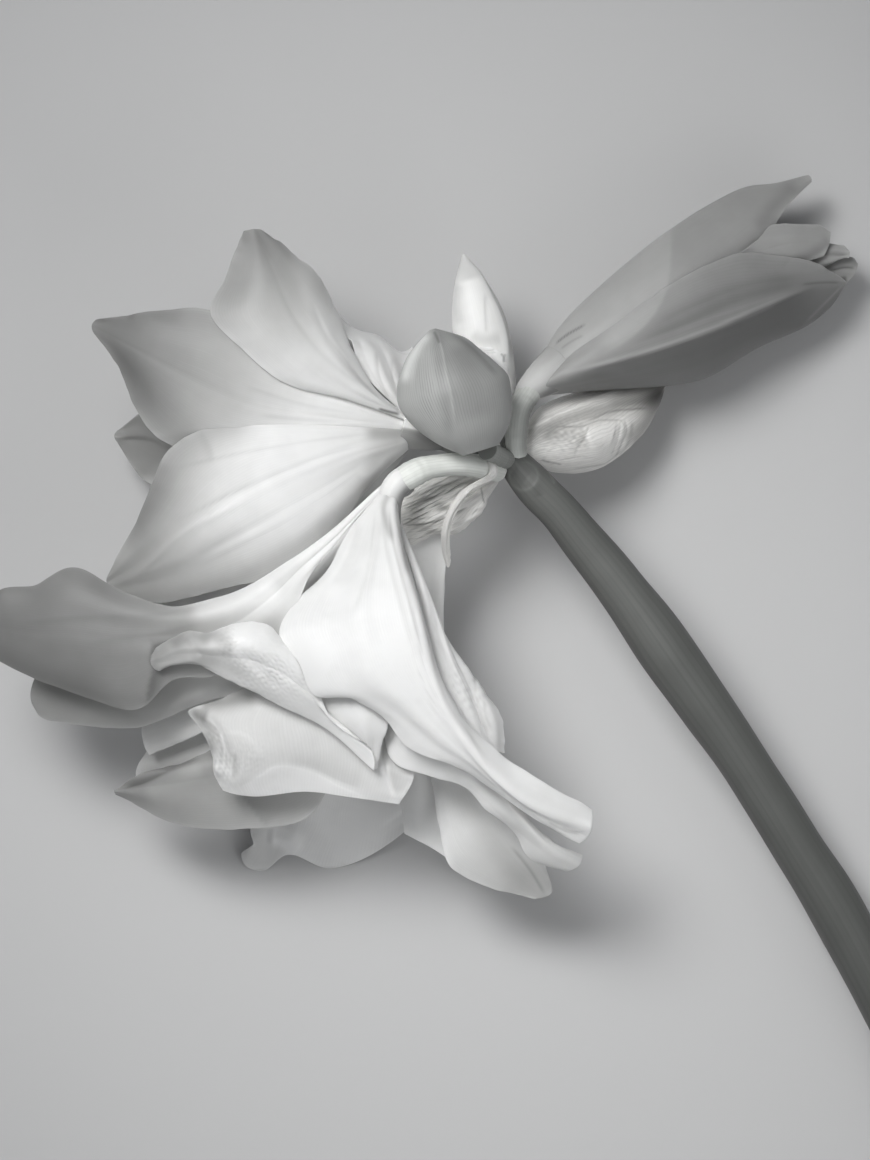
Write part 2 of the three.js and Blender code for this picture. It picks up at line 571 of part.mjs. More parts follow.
// Round stem along a path. extra makes it thicker and longer all round.
function stemSolid({ path, radii }, sides, stations, extra = 0) {
  const centers = [];
  for (let i = 0; i <= stations; i++) centers.push(vector(curvePoint(path, i / stations)));
  const knots = radii.map((r) => [r]);
  const rings = centers.map((center, i) => {
    const [before, after] = [centers[Math.max(i - 1, 0)], centers[Math.min(i + 1, stations)]];
    const direction = after.clone().sub(before).normalize();
    const radius = curvePoint(knots, i / stations, true)[0] + extra;
    const shift = i === 0 ? -extra : i === stations ? extra : 0;
    const seat = center.clone().addScaledVector(direction, shift);
    const points = ring(seat, direction, sides, (a) => [radius * Math.cos(a), radius * Math.sin(a)]);
    return { center: seat, points };
  });
  return ringSolid(rings.map((r) => r.points), rings[0].center, rings[stations].center);
}

// Bud whose tepals overlap: each one starts a little proud of the next.
function budSolid({ axis, left, right, height, relief, tepals, turn, twist }, extra = 0) {
  const [base, tip] = axis.map(vector);
  const direction = tip.clone().sub(base).normalize();
  const value = (list, t) => curvePoint(list.map((v) => [v]), t, true)[0];
  const rings = [];
  for (let i = 0; i <= BUD_STATIONS; i++) {
    const t = i / BUD_STATIONS;
    const center = base.clone().lerp(tip, t);
    rings.push(ring(center, direction, BUD_SIDES, (angle) => {
      const share = (((angle + turn + twist * t) * tepals) / (2 * Math.PI)) % 1;
      const size = 1 + relief * (share - 0.5) * Math.sin(Math.PI * t);
      const width = value(Math.cos(angle) > 0 ? right : left, t) * size + extra;
      return [width * Math.cos(angle), (value(height, t) * size + extra) * Math.sin(angle)];
    }));
  }
  const poleShift = 1 + extra;
  const firstPole = base.clone().addScaledVector(direction, -poleShift);
  return ringSolid(rings, firstPole, tip.clone().addScaledVector(direction, poleShift / 2));
}

const fuse = (solids) => wasm.Manifold.union(solids);
const largest = (solid) => solid.decompose().reduce((a, b) => (b.volume() > a.volume() ? b : a));
const cut = (solid, tools) => largest(tools.reduce((rest, tool) => rest.subtract(tool), solid));

function petalSolids(petals) {
  return petals.map((petal) =>
    sheetSolid(petalGrid(petal, petal.front ? FRONT_GRID : BACK_GRID), PETAL_THICKNESS));
}

const pedicelSolid = (name, extra = 0) => stemSolid(PEDICELS[name], PEDICEL_SIDES, PEDICEL_STATIONS, extra);
const throatSolid = (name) => stemSolid(THROATS[name], THROAT_SIDES, THROAT_STATIONS);

// The scape's lowest stretch is pressed flat where it lies on the table, and its cut end is dished.
function scapeSolid(extra = 0) {
  const stem = stemSolid({ path: SCAPE_PATH, radii: SCAPE_RADII }, SCAPE_SIDES, SCAPE_STATIONS, extra);
  const end = vector(SCAPE_PATH[SCAPE_PATH.length - 1]);
  const inward = vector(SCAPE_PATH[SCAPE_PATH.length - 2]).sub(end).normalize();
  const pith = stemSolid({
    path: [PITH_DEPTH, -2].map((depth) => end.clone().addScaledVector(inward, depth).toArray()),
    radii: [PITH_RADIUS * 0.6, PITH_RADIUS * 1.1],
  }, 10, 2);
  return stem.subtract(pith).trimByPlane([0, 0, 1], 0);
}

function bloomSolid(petals, name, tools) {
  return cut(fuse([...petalSolids(petals), throatSolid(name)]), tools).trimByPlane([0, 0, 1], 0);
}

function meshFrom(name, solid, color, roughness) {
  const result = solid.translate(LAYOUT_ORIGIN.map((v) => -v)).getMesh();
  const geometry = new THREE.BufferGeometry();
  geometry.setAttribute("position", new THREE.BufferAttribute(result.vertProperties, 3));
  geometry.setIndex(new THREE.BufferAttribute(result.triVerts, 1));
  geometry.computeVertexNormals();
  const mesh = new THREE.Mesh(geometry, new THREE.MeshStandardMaterial({ color, roughness, metalness: 0 }));
  mesh.name = name;
  return mesh;
}

const names = Object.keys(PEDICELS);
const wideScape = scapeSolid(SEAT_GAP);
const pedicels = {};
const widePedicels = {};
for (const name of names) {
  const taken = Object.values(widePedicels);
  pedicels[name] = cut(pedicelSolid(name), [wideScape, ...taken]);
  widePedicels[name] = pedicelSolid(name, SEAT_GAP);
}
const allPedicels = Object.values(widePedicels);
const roundBud = cut(budSolid(ROUND_BUD), allPedicels);
const budLip = sheetSolid(petalGrid(POINTED_BUD_LIP, LIP_GRID), PETAL_THICKNESS);
const pointedBud = cut(fuse([budSolid(POINTED_BUD), budLip]),
  [budSolid(ROUND_BUD, SEAT_GAP), ...allPedicels]);
const wideBuds = [budSolid(ROUND_BUD, SEAT_GAP), budSolid(POINTED_BUD, SEAT_GAP)];
const openBloom = bloomSolid(OPEN_BLOOM, "open", [...allPedicels, ...wideBuds]);
const hangingBloom = bloomSolid(HANGING_BLOOM, "hanging", allPedicels);
const openingBloom = bloomSolid(OPENING_BLOOM, "opening", [...allPedicels, ...wideBuds]);
const spatheTools = [wideScape, ...allPedicels, ...wideBuds];
const broadSpathe = cut(sheetSolid(petalGrid(BROAD_SPATHE, SPATHE_GRID), SPATHE_THICKNESS), spatheTools);
const witheredSheet = sheetSolid(petalGrid(WITHERED_SPATHE, SPATHE_GRID), SPATHE_THICKNESS);
const witheredSpathe = cut(witheredSheet, spatheTools);
const bracteole = cut(sheetSolid(petalGrid(BRACTEOLE, BRACTEOLE_GRID), SPATHE_THICKNESS), spatheTools);

const stem = new THREE.Group();
stem.add(meshFrom("scape", scapeSolid(), COLORS.scape, 0.55));
for (const name of names) stem.add(meshFrom(`pedicel_${name}`, pedicels[name], COLORS.pedicel, 0.5));
stem.add(meshFrom("bloom_open", openBloom, COLORS.petal, 0.45));
stem.add(meshFrom("bloom_hanging", hangingBloom, COLORS.petal, 0.45));
stem.add(meshFrom("bloom_opening", openingBloom, COLORS.petal, 0.45));
stem.add(meshFrom("bud_round", roundBud, COLORS.bud, 0.5));
stem.add(meshFrom("bud_pointed", pointedBud, COLORS.petal, 0.5));
stem.add(meshFrom("spathe_broad", broadSpathe, COLORS.spathe, 0.6));
stem.add(meshFrom("spathe_withered", witheredSpathe, COLORS.spathe, 0.7));
stem.add(meshFrom("bracteole", bracteole, COLORS.spathe, 0.6));

export default stem;
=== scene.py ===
# %% [markdown]
# # A cut amaryllis stem with flowers in every stage
#
# One thick leafless stalk, the scape, carries an umbel: a wide open bloom, a hanging double bloom, a third
# bloom that is just opening, a round bud and a pointed bud, with the dry sheaths that once wrapped them.
# The stem has been cut and lies on a table, and the camera looks straight down on it.
#
# A real petal is a thin sheet that grew from its root along many parallel veins. So nearly everything here
# is one kind of surface: a grid with two parameters, t from root to tip and u from the right-hand edge to
# the left. Guide lines, one for each edge and one or more between them, give the form. Folds, frills and
# creases are then added along the sheet's own normal. Points are typed in millimetres in a layout frame.

import bpy
import numpy as np
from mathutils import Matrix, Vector


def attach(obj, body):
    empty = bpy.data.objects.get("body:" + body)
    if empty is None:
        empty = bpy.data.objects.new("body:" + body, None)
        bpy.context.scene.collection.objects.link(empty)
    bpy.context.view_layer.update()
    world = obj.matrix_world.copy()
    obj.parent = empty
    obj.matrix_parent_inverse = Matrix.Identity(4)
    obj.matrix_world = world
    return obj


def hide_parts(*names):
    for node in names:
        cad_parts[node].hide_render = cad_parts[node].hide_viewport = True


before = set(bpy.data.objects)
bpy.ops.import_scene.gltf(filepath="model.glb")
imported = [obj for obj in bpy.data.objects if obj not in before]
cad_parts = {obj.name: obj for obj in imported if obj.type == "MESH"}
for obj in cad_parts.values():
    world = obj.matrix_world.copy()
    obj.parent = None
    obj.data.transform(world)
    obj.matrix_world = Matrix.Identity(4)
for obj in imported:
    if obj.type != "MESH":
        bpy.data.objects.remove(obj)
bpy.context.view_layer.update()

# %% [markdown]
# ## Camera
#
# The flowers were looked at from straight above, with their axis lying in the picture plane. A camera far
# away with a long lens keeps the sizes of near and far petals alike, as a tabletop close-up does.
# The lens follows from two lengths: the picture's long side shows 464 mm of the layout at petal height.

# %% Camera and the layout frame
MM = 0.001
LAYOUT_ORIGIN = np.array([21.12, -40.0, 0.0])
PETAL_HEIGHT = 65.0
CAMERA_DISTANCE = 9000.0
PICTURE_LENGTH = 464.0
SENSOR_WIDTH = 36.0
CAMERA_REACH = 50.0


def to_frame(points):
    """Metres in the part's frame: the layout's millimetres less its origin, divided by a thousand."""
    return (np.asarray(points, float) - LAYOUT_ORIGIN) * MM


camera = bpy.data.objects.new("camera", bpy.data.cameras.new("camera"))
bpy.context.scene.collection.objects.link(camera)
bpy.context.scene.camera = camera
camera.location = to_frame([0.0, 0.0, PETAL_HEIGHT + CAMERA_DISTANCE])
camera.data.sensor_width = SENSOR_WIDTH
camera.data.lens = SENSOR_WIDTH * CAMERA_DISTANCE / PICTURE_LENGTH
camera.data.clip_end = CAMERA_REACH
print("camera at", [round(v, 3) for v in camera.location], "lens", round(camera.data.lens, 1), "mm")

# %% [markdown]
# ## Soft light
#
# White petals show their form only in soft light that comes mostly from one side. One large panel stands
# above and to the upper left, far enough to the side for folds to cast gentle shadows. A second panel on
# the other side and a dim sky fill the rest. A sun lamp would be simpler, but its shadows are too hard.

# %% Key light, fill light and a dim sky
KEY_SPREAD = 0.60
SKY_COLOUR = (0.95, 0.97, 1.0, 1.0)
SKY_STRENGTH = 0.26


def panel(name, place, aim, size, power):
    """A square lamp of the given side at a place in the layout, turned towards an aimed-at point."""
    lamp = bpy.data.objects.new(name, bpy.data.lights.new(name, "AREA"))
    bpy.context.scene.collection.objects.link(lamp)
    lamp.data.size = size * MM
    lamp.data.energy = power
    lamp.location = to_frame(place)
    towards = Vector(to_frame(aim) - to_frame(place))
    lamp.rotation_euler = towards.to_track_quat("-Z", "Y").to_euler()
    return lamp


key = panel("key_panel", place=(-420, 520, 1250), aim=(-22, -10, 70), size=620, power=1.08)
key.data.spread = KEY_SPREAD
fill = panel("fill_panel", place=(700, -700, 900), aim=(0, 0, 60), size=900, power=2.9)

sky = bpy.data.worlds.new("studio_sky")
bpy.context.scene.world = sky
sky.use_nodes = True
sky.node_tree.nodes["Background"].inputs["Color"].default_value = SKY_COLOUR
sky.node_tree.nodes["Background"].inputs["Strength"].default_value = SKY_STRENGTH
bpy.context.scene.view_settings.view_transform = "Standard"
print("lamps:", [lamp.name for lamp in (key, fill)])

# %% [markdown]
# ## The table
#
# The stem lies on a pale table top, a step darker than the petals, so that their edges stay readable. One
# flat square does, because only soft shadows show on it. It belongs to the stage and not to the plant.

# %% The table
TABLE_REACH = 30.0
TABLE_GREY = (0.56, 0.56, 0.56, 1.0)
TABLE_ROUGHNESS = 0.8

corners = [(x * TABLE_REACH, y * TABLE_REACH, 0) for x, y in ((-1, -1), (1, -1), (1, 1), (-1, 1))]
floor_mesh = bpy.data.meshes.new("table_top")
floor_mesh.from_pydata(corners, [], [(0, 1, 2, 3)])
floor = bpy.data.objects.new("table_top", floor_mesh)
bpy.context.scene.collection.objects.link(floor)
floor_finish = bpy.data.materials.new("table_pale")
floor_finish.use_nodes = True
floor_shader = floor_finish.node_tree.nodes["Principled BSDF"]
floor_shader.inputs["Base Color"].default_value = TABLE_GREY
floor_shader.inputs["Roughness"].default_value = TABLE_ROUGHNESS
floor_mesh.materials.append(floor_finish)
print("table", floor.dimensions[:])

# %% [markdown]
# ## Smooth lines and sheets
#
# A modeller could bend a subdivided plane by hand. Lines worked out with numpy are chosen instead, because
# the same few guide points then give every grid size, and a petal's edge runs exactly where it was typed.
# A line passes through all its points. A sheet is such a line taken twice: along each guide, then across.

# %% Lines through points and sheets through guides


def smooth(x):
    """0 below 0, 1 above 1, and the soft step 3x^2 - 2x^3 between."""
    x = np.clip(x, 0.0, 1.0)
    return x * x * (3.0 - 2.0 * x)


def unit(vectors):
    """Each vector divided by its length."""
    return vectors / np.maximum(np.linalg.norm(vectors, axis=-1, keepdims=True), 1e-12)


def cubic(p0, p1, m0, m1, h, s):
    """The cubic that leaves p0 with slope m0 and reaches p1 with slope m1 over a step h, at share s."""
    a = (2 * s**3 - 3 * s**2 + 1) * p0 + (s**3 - 2 * s**2 + s) * h * m0
    return a + (3 * s**2 - 2 * s**3) * p1 + (s**3 - s**2) * h * m1


def line_through(points, t, even=False):
    """Points at shares t of a smooth line through given points.

    Knots are spaced by the root of the distance between points, or evenly. The slope at a point is the
    mean of the two chords beside it, each weighted by the length of the other, and an end keeps its chord.
    """
    p = np.asarray(points, float).reshape(len(points), -1)
    step = np.ones(len(p) - 1) if even else np.sqrt(np.linalg.norm(np.diff(p, axis=0), axis=1))
    knot = np.concatenate([[0.0], np.cumsum(step)]) / step.sum()
    h = np.diff(knot)[:, None]
    chord = np.diff(p, axis=0) / h
    inner = (chord[:-1] * h[1:] + chord[1:] * h[:-1]) / (h[:-1] + h[1:])
    slope = np.vstack([chord[:1], inner, chord[-1:]])
    i = np.clip(np.searchsorted(knot, t, side="right") - 1, 0, len(p) - 2)
    s = ((t - knot[i]) / h[i, 0])[:, None]
    return cubic(p[i], p[i + 1], slope[i], slope[i + 1], h[i], s)


def sheet_through(guides, t, u):
    """Grid of points (t, u): first a point at t on every guide, then the smooth line across those points.

    Across, an end slope continues the bend of its neighbour: twice the chord less the inner slope.
    """
    p = np.stack([line_through(guide, t) for guide in guides])
    step = np.sqrt(np.linalg.norm(np.diff(p, axis=0), axis=2)) + 1e-6
    knot = np.concatenate([np.zeros((1, len(t))), np.cumsum(step, axis=0)]) / step.sum(axis=0)
    h = np.diff(knot, axis=0)[..., None]
    chord = np.diff(p, axis=0) / h
    if len(guides) > 2:
        inner = (chord[:-1] * h[1:] + chord[1:] * h[:-1]) / (h[:-1] + h[1:])
        slope = np.concatenate([2 * chord[:1] - inner[:1], inner, 2 * chord[-1:] - inner[-1:]])
    else:
        slope = np.concatenate([chord, chord])
    i = (u[None, :, None] >= knot[1:-1].T[:, None, :]).sum(axis=2)

    def pick(values, index):
        """The values at an index across the guides, for every t and u."""
        return np.take_along_axis(values.transpose(1, 0, 2), index[..., None], axis=1)

    width = pick(h, i)
    s = (u[None, :, None] - pick(knot[..., None], i)) / width
    return cubic(pick(p, i), pick(p, i + 1), pick(slope, i), pick(slope, i + 1), width, s)


def sheet_normals(grid):
    """Unit normals of a grid: the direction along it, shared with its middle line, crossed with across."""
    along = unit(np.gradient(grid, axis=0))
    middle = along[:, grid.shape[1] // 2][:, None]
    return unit(np.cross(along + middle, unit(np.gradient(grid, axis=1))))


print("a test line:", line_through([(0, 0), (1, 1), (2, 0)], np.array([0.25, 0.5])).round(3).tolist())

# %% [markdown]
# ## From a grid to a closed mesh
#
# A petal is less than a millimetre thick, but it has two faces and a round rim that catches the light.
# A Solidify modifier would do. Here both faces are offset from the grid by hand, so that the sheet can
# thin towards its rim, and one more row of points goes round the rim to turn the corner softly.

# %% Closed sheets and closed round bodies
RIM_PUSH = 0.35


def closed_sheet(grid, thickness):
    """Points, quads and source index of a sheet with the given thickness at each grid point.

    Half the thickness lies on each side along the normal. The rim row is pushed out by RIM_PUSH of it.
    """
    rows, columns = grid.shape[:2]
    normal = sheet_normals(grid)
    half = thickness[..., None] / 2
    index = np.arange(rows * columns).reshape(rows, columns)
    loop = np.concatenate([index[:-1, 0], index[-1, :-1], index[:0:-1, -1], index[0, :0:-1]])
    along = unit(np.gradient(grid, axis=0))
    across = unit(np.gradient(grid, axis=1))
    outward = np.zeros_like(grid)
    outward[:, 0] -= across[:, 0]
    outward[:, -1] += across[:, -1]
    outward[0] -= along[0]
    outward[-1] += along[-1]
    push = unit(outward).reshape(-1, 3)[loop] * thickness.reshape(-1)[loop, None] * RIM_PUSH
    rim = grid.reshape(-1, 3)[loop] + push
    points = np.vstack([(grid + normal * half).reshape(-1, 3), (grid - normal * half).reshape(-1, 3), rim])
    a, b, c, d = index[:-1, :-1], index[1:, :-1], index[1:, 1:], index[:-1, 1:]
    upper = np.stack([a, b, c, d], axis=-1).reshape(-1, 4)
    lower = upper[:, ::-1] + rows * columns
    ring = 2 * rows * columns + np.arange(len(loop))
    after = np.roll(loop, -1)
    ring_after = np.roll(ring, -1)
    side = np.stack([loop, ring, ring_after, after], axis=-1)
    under = np.stack([ring, loop + rows * columns, after + rows * columns, ring_after], axis=-1)
    source = np.concatenate([index.ravel(), index.ravel(), loop])
    return points, [np.vstack([upper, lower, side, under])], source


def closed_round(rings):
    """Points, faces and source index of a body through rings of points, with a pole at each end."""
    rows, sides = rings.shape[:2]
    index = np.arange(rows * sides).reshape(rows, sides)
    turn = np.roll(index, -1, axis=1)
    quads = np.stack([index[:-1], index[1:], turn[1:], turn[:-1]], axis=-1).reshape(-1, 4)
    first = np.stack([np.full(sides, rows * sides), index[0], turn[0]], axis=-1)
    last = np.stack([np.full(sides, rows * sides + 1), turn[-1], index[-1]], axis=-1)
    points = np.vstack([rings.reshape(-1, 3), rings[0].mean(axis=0), rings[-1].mean(axis=0)])
    source = np.concatenate([index.ravel(), [0, (rows - 1) * sides]])
    return points, [quads, first, last], source


test = np.zeros((4, 3, 3))
test[..., 0], test[..., 1] = np.meshgrid(np.arange(4.0), np.arange(3.0), indexing="ij")
print("a test sheet of 4 x 3 points becomes", len(closed_sheet(test, np.ones((4, 3)))[0]), "points")

# %% [markdown]
# ## From arrays to an object
#
# Every part of the plant goes into Blender by the same door. Vertices could be made one at a time, but
# foreach_set takes whole arrays and is many times quicker. Two values go with each point: its lightness,
# called tone, and how strongly the veins show there, called veined. The tone holds the tissue's pale colour
# and painted light and shade: shaded tips, far parts and flanks darker, lit sides and highlights lighter.

# %% One object from points, faces and values
made = {}


def add_piece(name, shape, uv, values, material, node):
    """Puts points and faces into a mesh object at the origin, with its UV map and its named values.

    It then rides on the stem, takes the place of its CAD node and is given its finish.
    """
    points, faces, source = shape
    mesh = bpy.data.meshes.new(name)
    corners = np.concatenate([f.ravel() for f in faces])
    sizes = np.concatenate([np.full(len(f), f.shape[1]) for f in faces])
    mesh.vertices.add(len(points))
    mesh.vertices.foreach_set("co", to_frame(points).ravel())
    mesh.loops.add(len(corners))
    mesh.loops.foreach_set("vertex_index", corners)
    mesh.polygons.add(len(sizes))
    mesh.polygons.foreach_set("loop_start", np.concatenate([[0], np.cumsum(sizes)[:-1]]))
    mesh.polygons.foreach_set("use_smooth", np.ones(len(sizes), bool))
    mesh.update(calc_edges=True)
    layer = mesh.uv_layers.new(name="UVMap")
    layer.data.foreach_set("uv", uv.reshape(-1, 2)[source][corners].ravel())
    for key_name, field in values.items():
        attribute = mesh.attributes.new(key_name, "FLOAT", "POINT")
        attribute.data.foreach_set("value", field.ravel()[source].astype(np.float32))
    piece = bpy.data.objects.new(name, mesh)
    bpy.context.scene.collection.objects.link(piece)
    mesh.materials.append(material)
    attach(piece, "root")
    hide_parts(node)
    made[name] = int((sizes - 2).sum())


print("pieces so far:", len(made))

# %% [markdown]
# ## Frills, folds and growth
#
# A petal that unrolled from a tight bud keeps the memory of it: length folds, a soft midrib, edges that
# grew faster than the middle and so stand in waves. Each of these is a small height added along the sheet's
# normal. A Displace modifier could add them too, but it would need a picture for each petal.

# %% Frills and growth
EDGE_SHIFT = 2.1
SWELL_COUNT = 9
RUFFLES = ((7.0, 0.5), (12.3, 0.35), (19.7, 0.22))
MIDRIB_WIDTH = 0.035


def frill_height(t, u, frill, pleat):
    """Waves along both edges, on the cube of the nearness to the edge, plus folds across the sheet.

    frill is (height, waves, phase) and pleat is (height, half waves, phase). A second, shorter wave has
    0.4 of the height, and the two edges are out of step by EDGE_SHIFT.
    """
    edge = np.abs(2 * u - 1)
    phase = frill[2] + np.where(u > 0.5, EDGE_SHIFT, 0.0)
    wave = np.sin(2 * np.pi * frill[1] * t + phase)
    wave = wave + 0.4 * np.sin(4.6 * np.pi * frill[1] * t + 0.7 * frill[2] + phase)
    fold = np.sin(np.pi * pleat[1] * u + pleat[2]) * (1 - edge**4) * smooth(4 * t) * (1 - t) ** 0.6
    return frill[0] * smooth(1.6 * t) * edge**3 * wave + pleat[0] * fold


def grown_height(t, u, seed, ruffle=0.35, sway=0.45, midrib=0.35):
    """What growth adds: fine ruffles at the edge, slow uneven swells that run along the petal, a midrib.

    The swells are SWELL_COUNT waves with seeded directions, more across than along, scaled to die out
    at the root. The ruffles are three waves of unlike length on the eighth power of the edge.
    """
    chance = np.random.default_rng(seed)
    edge = np.abs(2 * u - 1)
    side = np.where(u > 0.5, 1.7, 0.0)
    height = np.zeros(np.broadcast(t, u).shape)
    for _ in range(SWELL_COUNT):
        along, over, phase, size = chance.uniform([0.3, 0.5, 0.0, 0.4], [2.2, 4.5, 6.283, 1.0])
        height = height + size * np.sin(2 * np.pi * (along * t + over * (u - 0.5) * 0.6) + phase)
    height = height * sway / 3.0 * smooth(2.5 * t) * (1 - 0.6 * smooth(8 * t - 7))
    for count, size in RUFFLES:
        shift = chance.uniform(0, 6.283)
        wave = np.sin(2 * np.pi * count * t + side + shift)
        height = height + ruffle * size * edge**8 * smooth(2 * t) * wave
    return height - midrib * np.exp(-(((u - 0.5) / MIDRIB_WIDTH) ** 2)) * smooth(4 * t) * (1 - t)


print("frill at the edge, halfway:", round(float(frill_height(0.5, 0.0, (1, 2, 0.5), (0, 0, 0))), 3))

# %% [markdown]
# ## Creases and puckers
#
# Here and there a petal has a crease or a crinkled patch. A crease could be sculpted by hand. It is drawn as
# a path instead, where it lies as seen from above, with its own width on either side, so one flank can be
# sharp and the other soft. The same paths, with a tone instead of a height, later draw bands of painted
# shade and painted highlight.

# %% Creases and puckers
PATH_POINTS = 41
FADE_SHARE = 0.18
PUCKER_WAVES = 12


def crease_height(grid, path, height, right, left):
    """A ridge, or a groove where height is negative, along a path seen from above.

    The height falls off as a bell curve with the distance from the path, with one width for the right
    hand of the path and one for its left, and fades over FADE_SHARE of the path at both ends.
    """
    p = line_through(path, np.linspace(0, 1, PATH_POINTS))
    a = p[:-1]
    d = p[1:] - a
    flat = grid[..., :2].reshape(-1, 1, 2)
    share = np.clip(((flat - a) * d).sum(-1) / (d * d).sum(-1), 0, 1)
    gap = flat - (a + share[..., None] * d)
    far = np.linalg.norm(gap, axis=-1)
    nearest = far.argmin(axis=1)
    row = np.arange(len(nearest))
    place = (nearest + share[row, nearest]) / len(a)
    turn = d[nearest, 0] * gap[row, nearest, 1] - d[nearest, 1] * gap[row, nearest, 0]
    width = np.where(turn > 0, left, right)
    fade = smooth(place / FADE_SHARE) * smooth((1 - place) / FADE_SHARE)
    bell = np.exp(-((far[row, nearest] / width) ** 2))
    return (height * bell * fade).reshape(grid.shape[:2])


def pucker_height(grid, x, y, radius, height, size, heading, stretch):
    """Crinkles in a round patch: waves of nearly one length, turned by chance, under a bell curve.

    They are drawn out by the stretch along the heading, in degrees.
    """
    chance = np.random.default_rng(int(abs(1000 + 7 * x + 13 * y)))
    turn = np.radians(heading)
    along = (grid[..., 0] * np.cos(turn) + grid[..., 1] * np.sin(turn)) / stretch
    over = grid[..., 1] * np.cos(turn) - grid[..., 0] * np.sin(turn)
    field = np.zeros(grid.shape[:2])
    for _ in range(PUCKER_WAVES):
        angle, length, phase = chance.uniform([0.0, 0.7, 0.0], [3.1416, 1.5, 6.2832])
        place = along * np.cos(angle) + over * np.sin(angle)
        field = field + np.sin(2 * np.pi * place / (size * length) + phase)
    far = np.hypot(grid[..., 0] - x, grid[..., 1] - y) / radius
    return height * field / 2.5 * np.exp(-(far**2))


spot = np.array([[[5.0, 1.0, 0.0]]])
beside = crease_height(spot, [(0, 0), (5, 0), (10, 0)], 1, 1, 1)
print("a crease one width away from its path still has", round(float(beside[0, 0]), 3), "of its height")

# %% [markdown]
# ## A petal from its description
#
# A petal is written down as a short table: guide lines, frill and pleat, creases and puckers, and the bands
# of painted shade and painted highlight that lie over them. It could be sculpted, but a table can be read
# and changed one line at a time. Two functions turn it into a grid of points and a grid of lightness, with
# the painted light and shade in it.

# %% The grid of a petal and its lightness
ROW_EASE = 0.6
COLUMN_EASE = 0.7
PUCKER_SHADE = 0.5
RIM_LIGHT = 0.05
DARKEST = 0.05


def spread(count, ease):
    """Shares from 0 to 1, closer together at both ends: a mean of even steps and cosine steps."""
    even = np.linspace(0, 1, count)
    return (1 - ease) * even + ease * (0.5 - 0.5 * np.cos(np.pi * even))


def petal_grid(petal, size, seed):
    """Grid of (rows, columns) points: the guides, lifted by frill, pleat, growth, creases and puckers."""
    t = spread(size[0], ROW_EASE)
    u = spread(size[1], COLUMN_EASE)
    grid = sheet_through(petal["guides"], t, u)
    tt, uu = np.meshgrid(t, u, indexing="ij")
    lift = frill_height(tt, uu, petal["frill"], petal.get("pleat", (0, 0, 0)))
    lift = lift + grown_height(tt, uu, seed, **petal.get("grown", {}))
    for path, height, right, left in petal.get("creases", []):
        lift = lift + crease_height(grid, path, height, right, left)
    for patch in petal.get("puckers", []):
        lift = lift + pucker_height(grid, *patch)
    return grid + sheet_normals(grid) * lift[..., None], tt, uu


def petal_tone(petal, grid, tt, uu):
    """Lightness from root to tip as a smooth line through its values, plus a slope across the petal.

    The line along and the slope across are partly painted shade: tips, far petals and flanks turned from the
    light are darker. Shades are bands of painted shade and painted highlight along drawn paths, worked out
    as the creases are. The puckers' hollows get painted shade, a little darker than their tops, and the rim
    gets a painted highlight of RIM_LIGHT.
    """
    along, across = petal["tone"]
    tone = line_through([(v,) for v in along], tt.ravel(), even=True).reshape(tt.shape)
    tone = tone + across * (uu - 0.5)
    for path, change, right, left in petal.get("shades", []):
        tone = tone + crease_height(grid, path, change, right, left)
    for patch in petal.get("puckers", []):
        tone = tone + PUCKER_SHADE * pucker_height(grid, *patch)
    rim = np.maximum(np.abs(2 * uu - 1) ** 24, tt**40)
    return np.clip(tone + RIM_LIGHT * rim, DARKEST, 1.0)


print("spacing of five shares:", spread(5, ROW_EASE).round(3).tolist())

# %% [markdown]
# ### Thickness and rest
#
# A real petal thins towards its rim, so the thickness falls there. Where a petal would sink into the table
# it is lifted off it. A collision modifier could do that, but one line that compares heights is enough.

# %% A petal as a finished piece
SHEET_THICKNESS = 0.72
RIM_THINNING = 0.5
SHEET_GAP = 0.05


def add_petal(name, petal, seed, material, node, size):
    """A petal as a closed sheet. Its thickness falls by RIM_THINNING along the sides and the tip."""
    grid, tt, uu = petal_grid(petal, size, seed)
    rim = np.maximum(np.abs(2 * uu - 1) ** 10, tt**24)
    thickness = SHEET_THICKNESS * (1 - RIM_THINNING * rim)
    grid[..., 2] = np.maximum(grid[..., 2], thickness / 2 + SHEET_GAP)
    uv = np.stack([uu, tt], axis=-1)
    values = {"tone": petal_tone(petal, grid, tt, uu), "veined": np.ones_like(tt)}
    add_piece(name, closed_sheet(grid, thickness), uv, values, material, node)


print("sheets are", SHEET_THICKNESS, "mm thick and", SHEET_THICKNESS * (1 - RIM_THINNING), "mm at the rim")

# %% [markdown]
# ## Veins and grain as shared effects
#
# Length veins run through every petal, bud and sheath, and streaks and fine cells lie over all of them.
# They could be painted. Node groups that read the surface's own UV map are chosen, because the veins then
# follow each petal from root to tip and crowd together at both ends, as they do in the plant.

# %% Node helpers


def put(tree, kind, **settings):
    """A node of the given kind with its plain properties set."""
    node = tree.nodes.new(kind)
    for name, value in settings.items():
        setattr(node, name, value)
    return node


def math(tree, operation, *terms, clamp=False):
    """A Math node's output. Each term is a number or another socket."""
    node = put(tree, "ShaderNodeMath", operation=operation, use_clamp=clamp)
    for socket, term in zip(node.inputs, terms):
        if isinstance(term, (int, float)):
            socket.default_value = term
        else:
            tree.links.new(term, socket)
    return node.outputs[0]


def noise(tree, place, scale, detail):
    """A Noise node read at a place, with a number or another socket as its scale."""
    node = put(tree, "ShaderNodeTexNoise")
    node.inputs["Detail"].default_value = detail
    tree.links.new(place, node.inputs["Vector"])
    if isinstance(scale, (int, float)):
        node.inputs["Scale"].default_value = scale
    else:
        tree.links.new(scale, node.inputs["Scale"])
    return node


